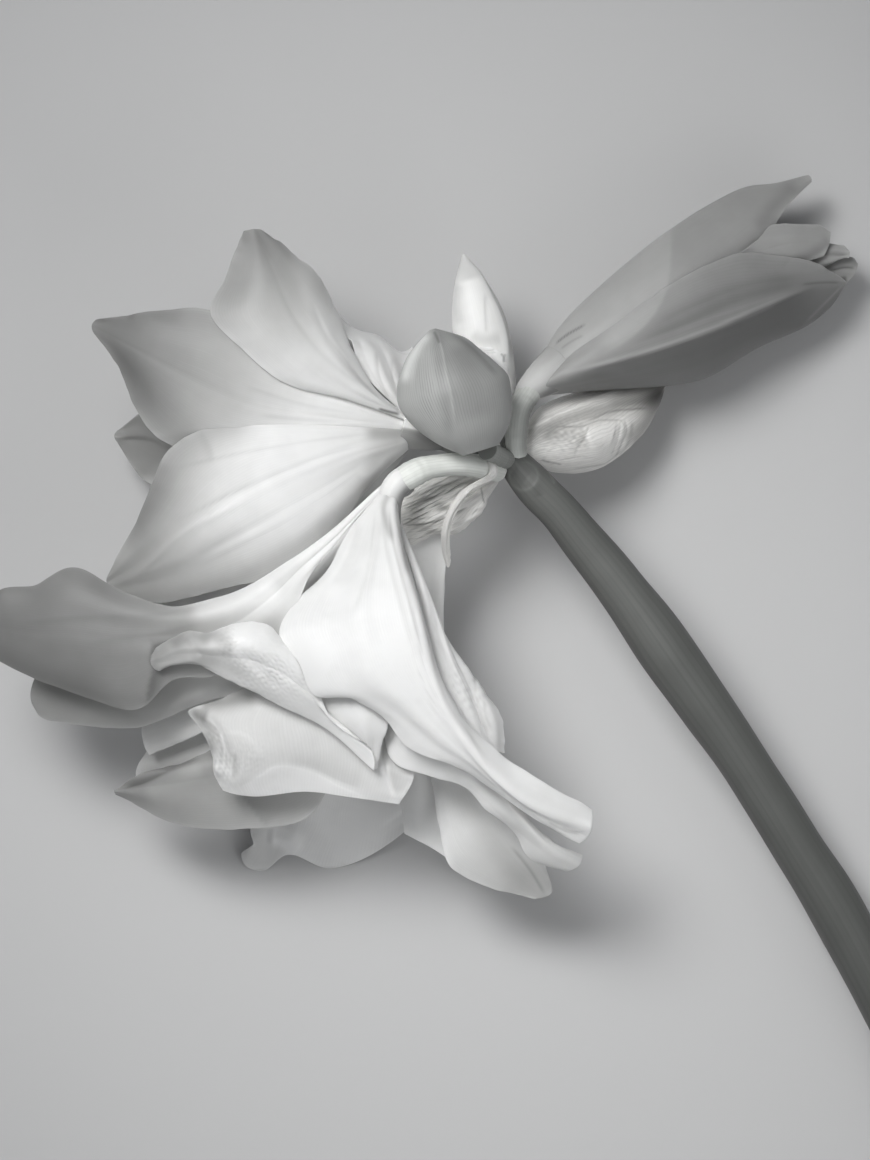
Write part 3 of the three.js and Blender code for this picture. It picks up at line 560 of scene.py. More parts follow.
def new_group(name, inputs, outputs):
    """An empty shader group with named vector or number inputs and number outputs."""
    group = bpy.data.node_groups.new(name, "ShaderNodeTree")
    for label, kind in inputs.items():
        group.interface.new_socket(label, in_out="INPUT", socket_type=kind)
    for label in outputs:
        group.interface.new_socket(label, in_out="OUTPUT", socket_type="NodeSocketFloat")
    return group, put(group, "NodeGroupInput"), put(group, "NodeGroupOutput")


print("node helpers ready for", bpy.app.version_string)

# %% [markdown]
# ### Two groups
#
# The vein group draws length veins and streaks, the grain group draws fine cells and a slow mottle. Each is
# built once, and every finish of the plant places it with its own numbers.

# %% The vein group and the grain group
FULL_TURN = 6.2832
BEND_SCALE = 5.0
STREAK_SCALE = 1.6
STREAK_STRETCH = 2.4
STREAK_ROUGHNESS = 0.6
VEIN_SHARPNESS = 3.0
MOTTLE_SCALE = 70.0


def make_vein_group():
    """Streaks: noise drawn out along. Veins: a sharpened sine of the across share, bent by slow noise,
    that fades in and out with the streaks."""
    inputs = {"Surface": "NodeSocketVector", "Count": "NodeSocketFloat", "Bend": "NodeSocketFloat"}
    group, given, result = new_group("length_veins", inputs, ("Veins", "Streaks"))
    split = put(group, "ShaderNodeSeparateXYZ")
    group.links.new(given.outputs["Surface"], split.inputs[0])
    slow = noise(group, given.outputs["Surface"], BEND_SCALE, 2.0)
    offset = math(group, "MULTIPLY", math(group, "SUBTRACT", slow.outputs[0], 0.5), given.outputs["Bend"])
    bent = math(group, "ADD", split.outputs[0], offset)
    counted = math(group, "MULTIPLY", bent, given.outputs["Count"])
    turned = math(group, "SINE", math(group, "MULTIPLY", counted, FULL_TURN))
    wave = math(group, "MULTIPLY_ADD", turned, 0.5, 0.5)
    drawn = put(group, "ShaderNodeCombineXYZ")
    group.links.new(counted, drawn.inputs[0])
    group.links.new(math(group, "MULTIPLY", split.outputs[1], STREAK_STRETCH), drawn.inputs[1])
    streak = noise(group, drawn.outputs[0], STREAK_SCALE, 4.0)
    streak.inputs["Roughness"].default_value = STREAK_ROUGHNESS
    group.links.new(streak.outputs[0], result.inputs["Streaks"])
    shown = math(group, "SUBTRACT", math(group, "MULTIPLY", streak.outputs[0], 4.0), 1.4, clamp=True)
    sharp = math(group, "POWER", wave, VEIN_SHARPNESS)
    group.links.new(math(group, "MULTIPLY", sharp, shown), result.inputs["Veins"])
    return group


def make_grain_group():
    """Cells: fine noise in metres on the object. Mottle: slow noise in metres, for uneven colour."""
    inputs = {"Place": "NodeSocketVector", "Cell size": "NodeSocketFloat"}
    group, given, result = new_group("cell_grain", inputs, ("Cells", "Mottle"))
    fineness = math(group, "DIVIDE", 1.0, given.outputs["Cell size"])
    fine = noise(group, given.outputs["Place"], fineness, 2.0)
    group.links.new(fine.outputs[0], result.inputs["Cells"])
    mottle = noise(group, given.outputs["Place"], MOTTLE_SCALE, 3.0)
    group.links.new(mottle.outputs[0], result.inputs["Mottle"])
    return group


vein_group = make_vein_group()
grain_group = make_grain_group()
print("groups:", vein_group.name, grain_group.name)

# %% [markdown]
# ## The plant's finishes
#
# All tissue here is one recipe with its own numbers. A lightness from the piece's "tone" value, painted
# light and shade included, is raised to a colour, veins and streaks change it a little, and the same
# patterns push the surface in and out in a Bump node. Petals let light through, so they get a share of
# subsurface scattering.

# %% The recipe for plant tissue
CELL_SIZE = 0.0006
MOTTLE_CHANGE = 0.10
ROUGHNESS_CHANGE = 0.16
COLOUR_POWER = 2.2
SCATTER_RADIUS = (1.0, 1.0, 0.95)
SCATTER_DEPTH = 0.0025
SHEEN_ROUGHNESS = 0.4
SPECULAR_LEVEL = 0.4


def tissue(name, dark, light, veins, bump, roughness, scatter, sheen=0.0):
    """A leaf-like finish whose colour runs from dark to light with the tone.

    veins is (count, bend, darkening, streaks) and bump is (veins, streaks, cells) in millimetres.
    """
    material = bpy.data.materials.new(name)
    material.use_nodes = True
    tree = material.node_tree
    shader = tree.nodes["Principled BSDF"]
    place = put(tree, "ShaderNodeTexCoord")
    vein = put(tree, "ShaderNodeGroup", node_tree=vein_group)
    vein.inputs["Count"].default_value = veins[0]
    vein.inputs["Bend"].default_value = veins[1]
    tree.links.new(place.outputs["UV"], vein.inputs["Surface"])
    grain = put(tree, "ShaderNodeGroup", node_tree=grain_group)
    grain.inputs["Cell size"].default_value = CELL_SIZE
    tree.links.new(place.outputs["Object"], grain.inputs["Place"])
    tone = put(tree, "ShaderNodeAttribute", attribute_name="tone").outputs["Fac"]
    veined = put(tree, "ShaderNodeAttribute", attribute_name="veined").outputs["Fac"]
    shown = math(tree, "MULTIPLY", vein.outputs["Veins"], veined)
    darker = math(tree, "MULTIPLY", shown, -veins[2])
    streaked = math(tree, "MULTIPLY", math(tree, "SUBTRACT", vein.outputs["Streaks"], 0.5), veins[3])
    mottle = math(tree, "SUBTRACT", grain.outputs["Mottle"], 0.5)
    mottled = math(tree, "MULTIPLY", mottle, MOTTLE_CHANGE)
    change = math(tree, "ADD", math(tree, "ADD", darker, streaked), mottled)
    level = math(tree, "MULTIPLY", tone, math(tree, "ADD", change, 1.0), clamp=True)
    mix = put(tree, "ShaderNodeMix", data_type="RGBA")
    tree.links.new(math(tree, "POWER", level, COLOUR_POWER), mix.inputs["Factor"])
    mix.inputs["A"].default_value = (*dark, 1.0)
    mix.inputs["B"].default_value = (*light, 1.0)
    tree.links.new(mix.outputs["Result"], shader.inputs["Base Color"])
    smoothest = roughness - ROUGHNESS_CHANGE / 2
    rough = math(tree, "MULTIPLY_ADD", grain.outputs["Mottle"], ROUGHNESS_CHANGE, smoothest)
    tree.links.new(rough, shader.inputs["Roughness"])
    height = math(tree, "MULTIPLY", shown, bump[0])
    height = math(tree, "ADD", height, math(tree, "MULTIPLY", vein.outputs["Streaks"], bump[1]))
    height = math(tree, "ADD", height, math(tree, "MULTIPLY", grain.outputs["Cells"], bump[2]))
    raised = put(tree, "ShaderNodeBump")
    raised.inputs["Distance"].default_value = MM
    tree.links.new(height, raised.inputs["Height"])
    tree.links.new(raised.outputs[0], shader.inputs["Normal"])
    shader.inputs["Subsurface Weight"].default_value = scatter
    shader.inputs["Subsurface Radius"].default_value = SCATTER_RADIUS
    shader.inputs["Subsurface Scale"].default_value = SCATTER_DEPTH
    shader.inputs["Sheen Weight"].default_value = sheen
    shader.inputs["Sheen Roughness"].default_value = SHEEN_ROUGHNESS
    shader.inputs["Specular IOR Level"].default_value = SPECULAR_LEVEL
    return material


print("cells of the tissue:", round(CELL_SIZE / MM, 2), "mm")

# %% [markdown]
# ### Four finishes
#
# Petals are nearly white with faint veins. Stalks are waxy, the round bud has close dark veins, and the dry
# sheaths are streaked like paper. Each could have its own node tree, but the recipe keeps them akin.

# %% Materials for petals, stalks, buds and sheaths
petal_finish = tissue(
    "petal_white",
    dark=(0.0, 0.0, 0.0),
    light=(0.90, 0.90, 0.885),
    veins=(64, 0.03, 0.022, 0.06),
    bump=(-0.006, 0.03, 0.012),
    roughness=0.5,
    scatter=0.35,
    sheen=0.1,
)
stalk_finish = tissue(
    "stalk_waxy",
    dark=(0.004, 0.005, 0.004),
    light=(0.82, 0.84, 0.80),
    veins=(22, 0.01, 0.06, 0.14),
    bump=(0.02, 0.04, 0.01),
    roughness=0.5,
    scatter=0.05,
)
bud_finish = tissue(
    "bud_veined",
    dark=(0.003, 0.003, 0.003),
    light=(0.86, 0.87, 0.85),
    veins=(118, 0.008, 0.20, 0.08),
    bump=(-0.03, 0.03, 0.01),
    roughness=0.46,
    scatter=0.15,
)
sheath_finish = tissue(
    "sheath_papery",
    dark=(0.003, 0.003, 0.003),
    light=(0.88, 0.87, 0.84),
    veins=(34, 0.12, 0.10, 0.34),
    bump=(0.04, 0.18, 0.05),
    roughness=0.52,
    scatter=0.2,
)
print("finishes:", [m.name for m in (petal_finish, stalk_finish, bud_finish, sheath_finish)])

# %% [markdown]
# ## The wide open bloom
#
# Seen from behind and the side, this bloom spreads three broad petals to the left and one folded one
# upwards, with three more behind them. One petal copied seven times would be quicker, but no two petals of
# the flower are alike. So each is a sheet through its own guide lines.

# %% Open bloom: the three broad petals
# The tones run darker towards the tips and far parts: painted shade. The shades are painted shade and
# painted highlight: dark slits at the throat, shade and light on folds and streaks, and wide darker bands
# where the petals turn from the light.
OPEN_BLOOM = {
    "top": dict(
        guides=[
            [(-12, 66, 66), (-24, 76, 71), (-33, 92, 74.5), (-41, 110, 76), (-48, 123, 79),
                (-58, 132.5, 81), (-69, 139.5, 84)],
            [(-12, 65, 69), (-30, 77, 84), (-46, 96, 93), (-60, 116, 94), (-72, 140, 86)],
            [(-12, 64, 69), (-36, 72.5, 81.5), (-58, 78, 91), (-78, 93, 94), (-90, 107, 92),
                (-83, 122, 89), (-79, 132, 88), (-76, 139, 86)],
        ],
        frill=(0.7, 2, 0.4),
        pleat=(0.5, 5, 0.5),
        tone=((1, 1, 0.88, 0.68, 0.6), 0),
        creases=[
            ([(-20, 71), (-32, 84), (-43.6, 98), (-50, 112)], -0.35, 1, 4),
            ([(-18, 70), (-34, 78), (-52, 93), (-62, 108)], 0.3, 3, 2),
        ],
        shades=[
            ([(-18, 70), (-28, 78), (-38, 88), (-45, 99), (-50, 112)], -0.05, 0.6, 1.6),
            ([(-24, 74), (-42, 87), (-55, 102), (-64, 120)], -0.035, 0.8, 1.2),
            ([(-34, 84), (-44, 100), (-51, 116), (-57, 136)], 0.09, 5, 4),
            ([(-102, 78), (-92, 104), (-84, 128), (-66, 152)], -0.06, 11, 11),
            ([(-23, 68.8), (-19, 67.6), (-14, 66.2)], -0.4, 0.5, 0.5),
        ],
    ),
    "left": dict(
        guides=[
            [(-12, 65, 65), (-40, 76, 80), (-68, 92, 88), (-90, 107.5, 90), (-111, 107.5, 88),
                (-125, 105, 84), (-135, 104, 81)],
            [(-12, 62, 68), (-48, 68, 86), (-85, 75, 94), (-115, 89, 90), (-137, 101.5, 80)],
            [(-12, 58, 65), (-50, 52, 78), (-88, 50, 83), (-110, 56, 84), (-119, 67, 83), (-124, 80, 83),
                (-130, 91, 82), (-136, 98, 80)],
        ],
        frill=(0.6, 2, 2),
        pleat=(0.5, 3, 0),
        tone=((1, 1, 0.78, 0.57, 0.52), 0.04),
        shades=[
            ([(-80, 34), (-96, 54), (-112, 72), (-132, 98)], -0.08, 9, 9),
            ([(-56, 106), (-84, 106), (-110, 108), (-142, 102)], -0.05, 9, 9),
            ([(-28, 63), (-50, 64), (-72, 66)], -0.05, 0.7, 0.9),
            ([(-28, 66), (-52, 70), (-78, 78)], -0.04, 0.7, 0.9),
            ([(-28, 64.5), (-52, 67), (-76, 72)], 0.03, 0.7, 0.9),
            ([(-23, 68.4), (-19, 67.2), (-14, 65.8)], -0.45, 0.5, 0.5),
            ([(-12, 63.8), (-20, 64.6), (-30, 65)], 0.12, 1.6, 1.6),
        ],
    ),
    "lower": dict(
        guides=[
            [(-10, 60, 66), (-32, 61, 78.5), (-62, 62, 88.3), (-92, 60, 90), (-106, 52, 89.5),
                (-113, 38, 89), (-120, 22, 86), (-127, 9, 81), (-131, 1, 77)],
            [(-10, 57, 68), (-34, 50, 84), (-66, 34, 93), (-100, 14, 90), (-131, -2, 76)],
            [(-10, 53, 63), (-22, 42, 70), (-42, 18, 79), (-62, 3, 82), (-86, -4, 80), (-112, -8.5, 74),
                (-129, -6, 75)],
        ],
        frill=(0.6, 2, 1),
        pleat=(0.5, 5, 0),
        tone=((0.9, 1, 1, 0.82, 0.62), 0),
        creases=[
            ([(-24.9, 54.4), (-47, 45.6), (-69.3, 35.6), (-86, 26.8), (-99.3, 19.5), (-113.8, 6.7),
                (-123.8, -2.8)], 0.35, 1.4, 1.4),
            ([(-24, 57), (-46, 50), (-70, 40), (-94, 28)], -0.3, 3, 3),
            ([(-26, 49), (-48, 36), (-72, 23), (-96, 10)], -0.35, 3, 3),
            ([(-94.9, 59.4), (-91.6, 57.8), (-88.8, 52.8), (-88, 48)], -0.25, 3, 0.8),
        ],
        shades=[
            ([(-2, 60), (-22, 44), (-38, 27.5), (-54, 13), (-70, 4.5), (-94, -8)], -0.1, 4.5, 12),
            ([(-2, 60), (-12, 55), (-24, 49)], -0.05, 4, 4),
            ([(-76, 80), (-94, 64), (-108, 50), (-120, 36), (-138, 18)], -0.36, 18, 18),
            ([(-24, 57), (-46, 50), (-70, 40), (-98, 27)], -0.05, 0.9, 1.4),
            ([(-26, 49), (-48, 36), (-72, 23), (-100, 8)], -0.05, 0.9, 1.4),
            ([(-26, 53.5), (-50, 45.5), (-74, 33), (-102, 19)], 0.05, 0.7, 0.9),
            ([(-24, 58.8), (-50, 55.4), (-78, 50.5), (-106, 44)], -0.045, 0.6, 0.8),
            ([(-25, 54.8), (-50, 47.6), (-76, 37), (-106, 22)], -0.04, 0.5, 0.6),
            ([(-27, 46), (-48, 31), (-70, 18), (-96, 5)], -0.045, 0.6, 0.8),
            ([(-27, 47.5), (-48, 33.6), (-70, 20.8), (-96, 7.6)], 0.04, 0.6, 0.8),
            ([(-94.4, 60), (-91.5, 56), (-89.5, 52), (-88.5, 46)], -0.035, 2.4, 0.6),
            ([(-8, 56.6), (-14, 53.2), (-20, 50.4), (-25, 46.4), (-31, 41)], 0.19, 2.4, 2.6),
            ([(4, 60.6), (-8, 59.8), (-18, 59), (-30, 59)], -0.18, 2.6, 3.4),
        ],
    ),
}
print("broad petals:", ", ".join(OPEN_BLOOM))

# %% [markdown]
# ### The folded petal and the far ones
#
# A folded petal rises beside the round bud, and three more close the bloom from behind. A petal that the
# camera can't see could be left out, but the flower is looked at from all sides, so each is there in full.

# %% Open bloom: the folded petal and the far ones
# far_left and far_top are darker with painted shade, as they lie behind the others, and under_lower is
# painted darker at its root.
OPEN_BLOOM |= {
    "under_lower": dict(
        guides=[
            [(-10, 56, 60), (-40, 36, 71), (-80, 8, 75), (-116, -6, 68)],
            [(-10, 54, 58), (-36, 27, 67), (-72, -2, 73), (-117, -12, 64)],
            [(-10, 53, 56), (-42, 12, 56), (-78, -14, 60), (-116, -19, 56)],
        ],
        frill=(1, 2, 0),
        tone=((0.6, 1, 1, 0.86), 0),
    ),
    "far_left": dict(
        guides=[
            [(-10, 61, 58), (-45, 80, 42), (-88, 82, 26), (-116, 69, 22), (-127.8, 60, 23)],
            [(-10, 60, 57), (-50, 58, 34), (-92, 57, 18), (-128.8, 58, 23)],
            [(-10, 57, 57), (-45, 38, 38), (-90, 33, 24), (-115, 39, 21), (-127.8, 55.5, 22.5)],
        ],
        frill=(1, 2, 3),
        tone=((0.66, 0.66, 0.62, 0.58), 0),
        creases=[
            ([(-129.3, 57.2), (-121, 58), (-113, 57), (-105.4, 53.3)], 1.2, 1, 3),
        ],
    ),
    "side": dict(
        guides=[
            [(-8, 62, 58), (-9, 74, 58), (-9.4, 84, 54), (-9.6, 90, 46), (-9, 93.4, 36)],
            [(-9, 63, 61), (-12, 76, 63), (-13.4, 85, 59), (-13.8, 89.6, 50), (-13.6, 91.4, 38)],
            [(-10, 64, 63), (-15.4, 78, 67.5), (-19.6, 90, 63), (-21.6, 95.4, 52), (-22.4, 97.8, 40)],
            [(-11, 65, 64), (-20, 79.4, 70), (-26.4, 92.4, 69), (-30, 98.4, 58), (-31.4, 100.4, 44)],
            [(-12, 66, 64), (-27, 81, 72), (-33, 93, 74), (-38, 104, 66), (-41.6, 109, 50)],
        ],
        frill=(0.8, 2.6, 3),
        pleat=(0.4, 6, 0.4),
        tone=((1, 1, 1, 0.92), 0),
        creases=[
            ([(-17.4, 70.2), (-22.6, 82.5), (-23.6, 92)], -0.21, 0.8, 2),
            ([(-20, 72), (-32, 86), (-39, 99)], -0.18, 0.8, 2),
            ([(-19, 73), (-27, 86), (-31, 97)], -0.15, 0.8, 2),
        ],
        shades=[
            ([(-17.4, 70.2), (-22.6, 82.5), (-23.8, 92)], -0.1, 0.5, 1.2),
            ([(-20, 72), (-32, 86), (-39, 99)], -0.06, 0.5, 1.2),
            ([(-19, 73), (-27, 86), (-31, 97)], -0.04, 0.5, 1),
            ([(-15, 71), (-17.5, 82), (-17, 90)], -0.05, 0.5, 1),
        ],
    ),
    "far_top": dict(
        guides=[
            [(-8, 62, 57), (-19, 79, 44), (-31, 93, 30), (-44, 107, 14), (-52, 121, 3)],
            [(-10, 61, 56), (-34, 80, 36), (-50, 98, 18), (-60, 124, 0.3)],
            [(-10, 60, 57), (-44, 76, 40), (-68, 92, 24), (-82, 106, 10), (-72, 124, 2.4)],
        ],
        frill=(1.2, 2, 3),
        tone=((0.75, 0.75, 0.7, 0.65), 0),
    ),
}
print("all petals of the open bloom:", ", ".join(OPEN_BLOOM))

# %% [markdown]
# ### From petals to a bloom
#
# All petals of a bloom are made in one loop, each as its own piece. A fine grid everywhere would be easy,
# but slow to load. So the grid is fine where the camera sees most, finest where small puckers need it, and
# coarse for the petals behind.

# %% A bloom from its petals
FINE_GRID = (150, 84)
PLAIN_GRID = (90, 48)
PUCKERED_GRID = (200, 130)


def add_bloom(name, petals, seed, wide):
    """Every petal of a bloom as its own piece. wide names those that the camera sees most of."""
    for number, (label, petal) in enumerate(petals.items()):
        size = FINE_GRID if label in wide else PLAIN_GRID
        if "puckers" in petal:
            size = PUCKERED_GRID
        add_petal(f"{name}_{label}", petal, seed + number, petal_finish, name, size)
    print(name, {label: made[f"{name}_{label}"] for label in petals})


add_bloom("bloom_open", OPEN_BLOOM, seed=10, wide=("top", "left", "lower", "side"))

# %% [markdown]
# ## The hanging double bloom
#
# The largest bloom hangs from a bent pedicel and has many petals in layers, each a little lower than the
# one above it. The broad front petal carries the crease that the eye follows from the tube to the tip.

# %% Hanging bloom: the front petal and the tongue
# In this bloom too the tones and shades are painted light: darker tips and lower layers, painted shade in
# the grooves and slits and down the shaded flank of the front crease, painted highlights on crests and rims.
HANGING_BLOOM = {
    "front": dict(
        guides=[
            [(-15, 41.2, 84.5), (-22, 34.5, 87), (-34, 20, 90), (-44, 3, 93.5), (-56, -9, 97),
                (-62, -22, 102.8), (-54, -33, 106), (-48, -46, 105), (-33, -47.5, 105), (-21, -54, 105),
                (-11, -66, 103), (6, -73, 102), (22, -83, 99), (42, -97, 94), (57.5, -104.6, 88)],
            [(-14.2, 40.4, 86), (-19.8, 33, 90), (-24, 12, 99.5), (-29, -12, 109), (-27, -34, 113),
                (-8, -54, 111), (14, -72, 107), (38, -91, 99), (60.6, -102.6, 90)],
            [(-13.2, 39.5, 86.3), (-16.8, 32.5, 90.4), (-14, 10, 101), (-7, -12, 110), (0, -38, 113.5),
                (8, -57, 112), (22, -77, 107.5), (38, -91, 101), (62.4, -98.5, 93)],
            [(-12.5, 38.6, 84.6), (-14.8, 31, 86.5), (-10.6, 6, 96), (-4, -18, 103.5), (4, -43, 106),
                (12, -56.5, 105.5), (27, -69.5, 102.5), (42, -80, 98.5), (62.5, -92, 89.5)],
        ],
        frill=(0.5, 3, 0.8),
        pleat=(0.5, 6, 0),
        tone=((0.92, 0.98, 1, 1, 1, 0.94), 0),
        creases=[
            ([(-14, 15), (-7, -10), (0, -40), (5, -52), (12, -62), (20, -75), (28, -86), (35, -91)], 0.55,
                4, 1.2),
            ([(-9, -10), (-6.8, -22), (-0.8, -47.7), (8, -58)], -0.25, 0.6, 0.6),
            ([(-11, -18), (-4.5, -46), (2, -56)], -0.2, 0.5, 0.5),
            ([(-36.4, 11.6), (-38, -3.2), (-45.2, -15)], -0.8, 5, 6),
            ([(-23, 26), (-24.5, 10), (-27.5, -4), (-35, -20)], 0.45, 1.2, 6),
            ([(47, -98.5), (53, -102), (58, -104)], 0.35, 0.8, 0.8),
        ],
        shades=[
            ([(-15, 30), (-12.5, 12), (-6, -12), (1, -41), (7, -54), (14, -63), (24, -76)], -0.07, 0.8,
                1),
            ([(-12.5, 18), (-6, -8), (1.5, -36), (8, -52)], -0.1, 0.5, 0.6),
            ([(-10, 10), (-4, -14), (3, -38), (10, -54)], -0.06, 0.5, 0.6),
            ([(-23.5, 30), (-25, 12), (-28, -2), (-34, -16)], -0.05, 0.8, 3),
            ([(-21, 31), (-20, 16), (-16.5, 0), (-12, -16), (-7, -34)], -0.07, 0.7, 1.6),
            ([(-18.5, 31), (-17.3, 18), (-13, 0), (-9, -14), (-4, -34)], -0.12, 0.5, 0.8),
            ([(-30, 24), (-34, 10), (-42, -4)], -0.04, 0.8, 3),
            ([(-9, -26), (-5, -40), (1, -52)], -0.05, 0.4, 0.4),
            ([(-7, -24), (-3.4, -38), (2.6, -50)], -0.05, 0.4, 0.4),
            ([(44, -95.5), (51, -99.5), (58.6, -101.4)], -0.1, 0.5, 0.7),
            ([(50, -98), (55, -100), (60.6, -100)], -0.07, 0.4, 0.4),
            ([(-13.6, 34), (-13.8, 26), (-13, 14), (-10, 0)], -0.14, 1.5, 0.8),
            ([(-16.6, 37), (-20.4, 30), (-19.4, 23), (-16.6, 14)], -0.16, 1.2, 1.5),
        ],
    ),
    "tongue": dict(
        guides=[
            [(-24, 34, 77), (-40, -2, 86), (-51, -28, 90), (-46, -51, 93.5), (-35, -60, 92),
                (-25, -75, 85.5)],
            [(-20, 33, 80), (-33, -8, 93), (-37, -36, 99), (-30, -58, 98), (-24, -75.5, 86.5)],
            [(-17, 32, 77), (-21, -8, 91), (-21, -38, 98), (-19, -56, 97.5), (-22, -67, 92),
                (-23, -75, 86)],
        ],
        frill=(0.5, 2, 2.2),
        tone=((0.95, 1, 1, 0.95), 0),
    ),
}
print("hanging bloom so far:", ", ".join(HANGING_BLOOM))

# %% [markdown]
# ### The petals that reach left
#
# One long petal reaches furthest left, with a darker one under it. A crinkled petal lies in front of them.
# Crinkles could be modelled wave by wave. Patches of random waves are used, because no two should be alike.

# %% Hanging bloom: the petals that reach left
HANGING_BLOOM |= {
    "long_left": dict(
        guides=[
            [(-14.6, 43, 83.5), (-23.5, 36, 85), (-40, 21, 89.5), (-60, 6.5, 95), (-80, -5, 97),
                (-103, -10, 97), (-122, -5.5, 95), (-144, 4.5, 90), (-160, -2, 87), (-174, -4, 84),
                (-181, -12, 81)],
            [(-14.2, 42, 85), (-22.8, 34.8, 86.2), (-50, 8, 94), (-80, -14, 99), (-112, -21, 100),
                (-145, -20, 97), (-172, -19, 88), (-183, -18, 81)],
            [(-13.8, 41, 84.4), (-22, 33.8, 86.2), (-33, 23, 88), (-42, 12, 91), (-50, 2, 94),
                (-56, -12, 98), (-71, -32, 96), (-88, -38, 93), (-104, -39, 94), (-118, -51, 94),
                (-135, -48.5, 92), (-160, -39, 87), (-174, -32, 83), (-181, -24, 80)],
        ],
        frill=(0.7, 3, 0.2),
        pleat=(0.4, 3, 0),
        tone=((0.95, 1, 0.86, 0.6, 0.49, 0.5), 0),
        creases=[
            ([(-113, -24), (-111.8, -34.6), (-113.5, -41.6), (-114.7, -50)], 1, 6, 0.8),
            ([(-60, -2), (-85, -12), (-115, -17), (-150, -16)], -0.12, 4, 4),
        ],
        shades=[
            ([(-113, -22), (-111.8, -34.6), (-113.5, -41.6), (-114.7, -50)], -0.1, 0.8, 5),
            ([(-86, -9), (-110, -14), (-140, -15), (-170, -18)], -0.03, 1, 2.5),
            ([(-90, -16), (-112, -22), (-140, -25)], -0.03, 1, 2),
            ([(-146, 3), (-160, -4), (-176, -8)], 0.04, 4, 4),
            ([(-92, -33), (-80, -28), (-70, -18)], -0.05, 4, 4),
            ([(-60, -2), (-80, -11), (-100, -14)], 0.13, 4, 4),
            ([(-60, -16), (-78, -25), (-94, -30)], -0.09, 4, 4),
        ],
    ),
    "crinkled": dict(
        guides=[
            [(-36, -34, 96), (-50, -30, 99.5), (-60, -24.6, 102.5), (-66, -18.6, 104.6),
                (-74.5, -16.6, 105.4), (-82, -17.6, 105.6), (-91, -21.4, 105.5), (-98, -20.5, 105),
                (-106, -23.5, 103.5), (-111, -27, 102), (-112.8, -30.5, 101)],
            [(-46, -40, 101), (-57, -31, 106), (-72, -26, 111), (-90, -26.5, 109), (-104, -27.5, 106.5),
                (-113.2, -32.2, 101)],
            [(-41, -56, 98.5), (-54, -42, 102.5), (-68, -34, 106.5), (-88, -29.5, 107.5),
                (-104, -29.5, 106), (-113.1, -32.8, 101)],
            [(-25.5, -68, 93.5), (-47, -52, 98), (-66, -43.5, 101.5), (-86, -35, 103.5),
                (-103, -32, 104.2), (-112.9, -33.8, 101)],
            [(-24.5, -75.8, 90.5), (-45, -58, 94), (-65, -48.5, 97.5), (-84, -38.5, 101),
                (-97, -32.6, 103.2), (-105, -33.8, 102.8), (-110, -36, 101), (-112.3, -34.8, 100.8)],
        ],
        frill=(0.6, 3, 1),
        tone=((1, 0.95, 0.93, 0.74, 0.6), 0),
        creases=[
            ([(-111, -35.2), (-103, -32.4), (-97, -31.6), (-92, -33)], 0.7, 0.8, 3),
            ([(-100, -21.5), (-96, -26), (-94, -31)], -0.6, 1.6, 1.6),
            ([(-88, -22), (-86, -28), (-80, -34)], -0.3, 2, 2),
            ([(-36, -58.5), (-30, -63.5), (-24, -69)], -0.5, 0.7, 0.7),
            ([(-82, -24), (-72, -33), (-60, -44)], -0.5, 2, 3),
            ([(-72, -19), (-62, -28), (-53, -42)], 0.5, 4, 3),
        ],
        puckers=[(-64, -34, 12, 0.08, 1.5, 140, 1.4), (-76, -27, 8, 0.06, 1.4, 150, 1.6)],
        shades=[
            ([(-46, -27), (-60, -24), (-70, -22.5), (-84, -23)], 0.12, 6, 7),
            ([(-70, -24), (-62, -32), (-54, -42)], 0.07, 5, 5),
            ([(-112, -35), (-104, -32), (-95, -30.6)], 0.07, 1.5, 2),
            ([(-106, -27), (-97, -22.5), (-89, -26)], -0.1, 3, 3),
            ([(-38, -61), (-31, -67), (-25, -74)], 0.1, 2, 2),
            ([(-35.5, -58.6), (-29.5, -64), (-24, -69)], -0.28, 0.5, 0.5),
            ([(-84, -34), (-72, -42), (-58, -51), (-44, -62)], -0.05, 1.6, 3),
            ([(-45, -53), (-38, -58), (-31, -63.6), (-23, -70)], 0.1, 0.5, 0.5),
            ([(-46, -60), (-38, -63), (-31, -68), (-24, -75.5)], 0.1, 0.5, 0.5),
            ([(-94, -20), (-85, -23.6), (-79, -28)], -0.11, 2.5, 2.5),
            ([(-80, -25), (-74.5, -31), (-67, -38)], 0.09, 2.5, 2.5),
        ],
    ),
    # Its darker tip is painted shade: this petal lies under the others.
    "dark_under": dict(
        guides=[
            [(-26, 32, 74), (-80, -10, 78), (-125, -24, 74), (-158, -36, 66)],
            [(-26, 30, 75), (-75, -25, 81), (-120, -42, 77), (-161.5, -44, 66)],
            [(-25, 28, 73), (-62, -38, 77), (-93, -49, 75), (-120, -59.5, 70), (-146, -57, 66),
                (-157, -55, 65), (-161, -50, 64)],
        ],
        frill=(0.6, 2, 1.2),
        tone=((1, 1, 0.7, 0.56), 0),
    ),
}
print("hanging bloom so far:", ", ".join(HANGING_BLOOM))

# %% [markdown]
# ### The inner petal and its neighbours
#
# The inner petal is broad and has a raised, crinkled rim on the left. Three narrower petals lie lower, to
# its left. They are sheets too, because every one of them has an edge that shows.

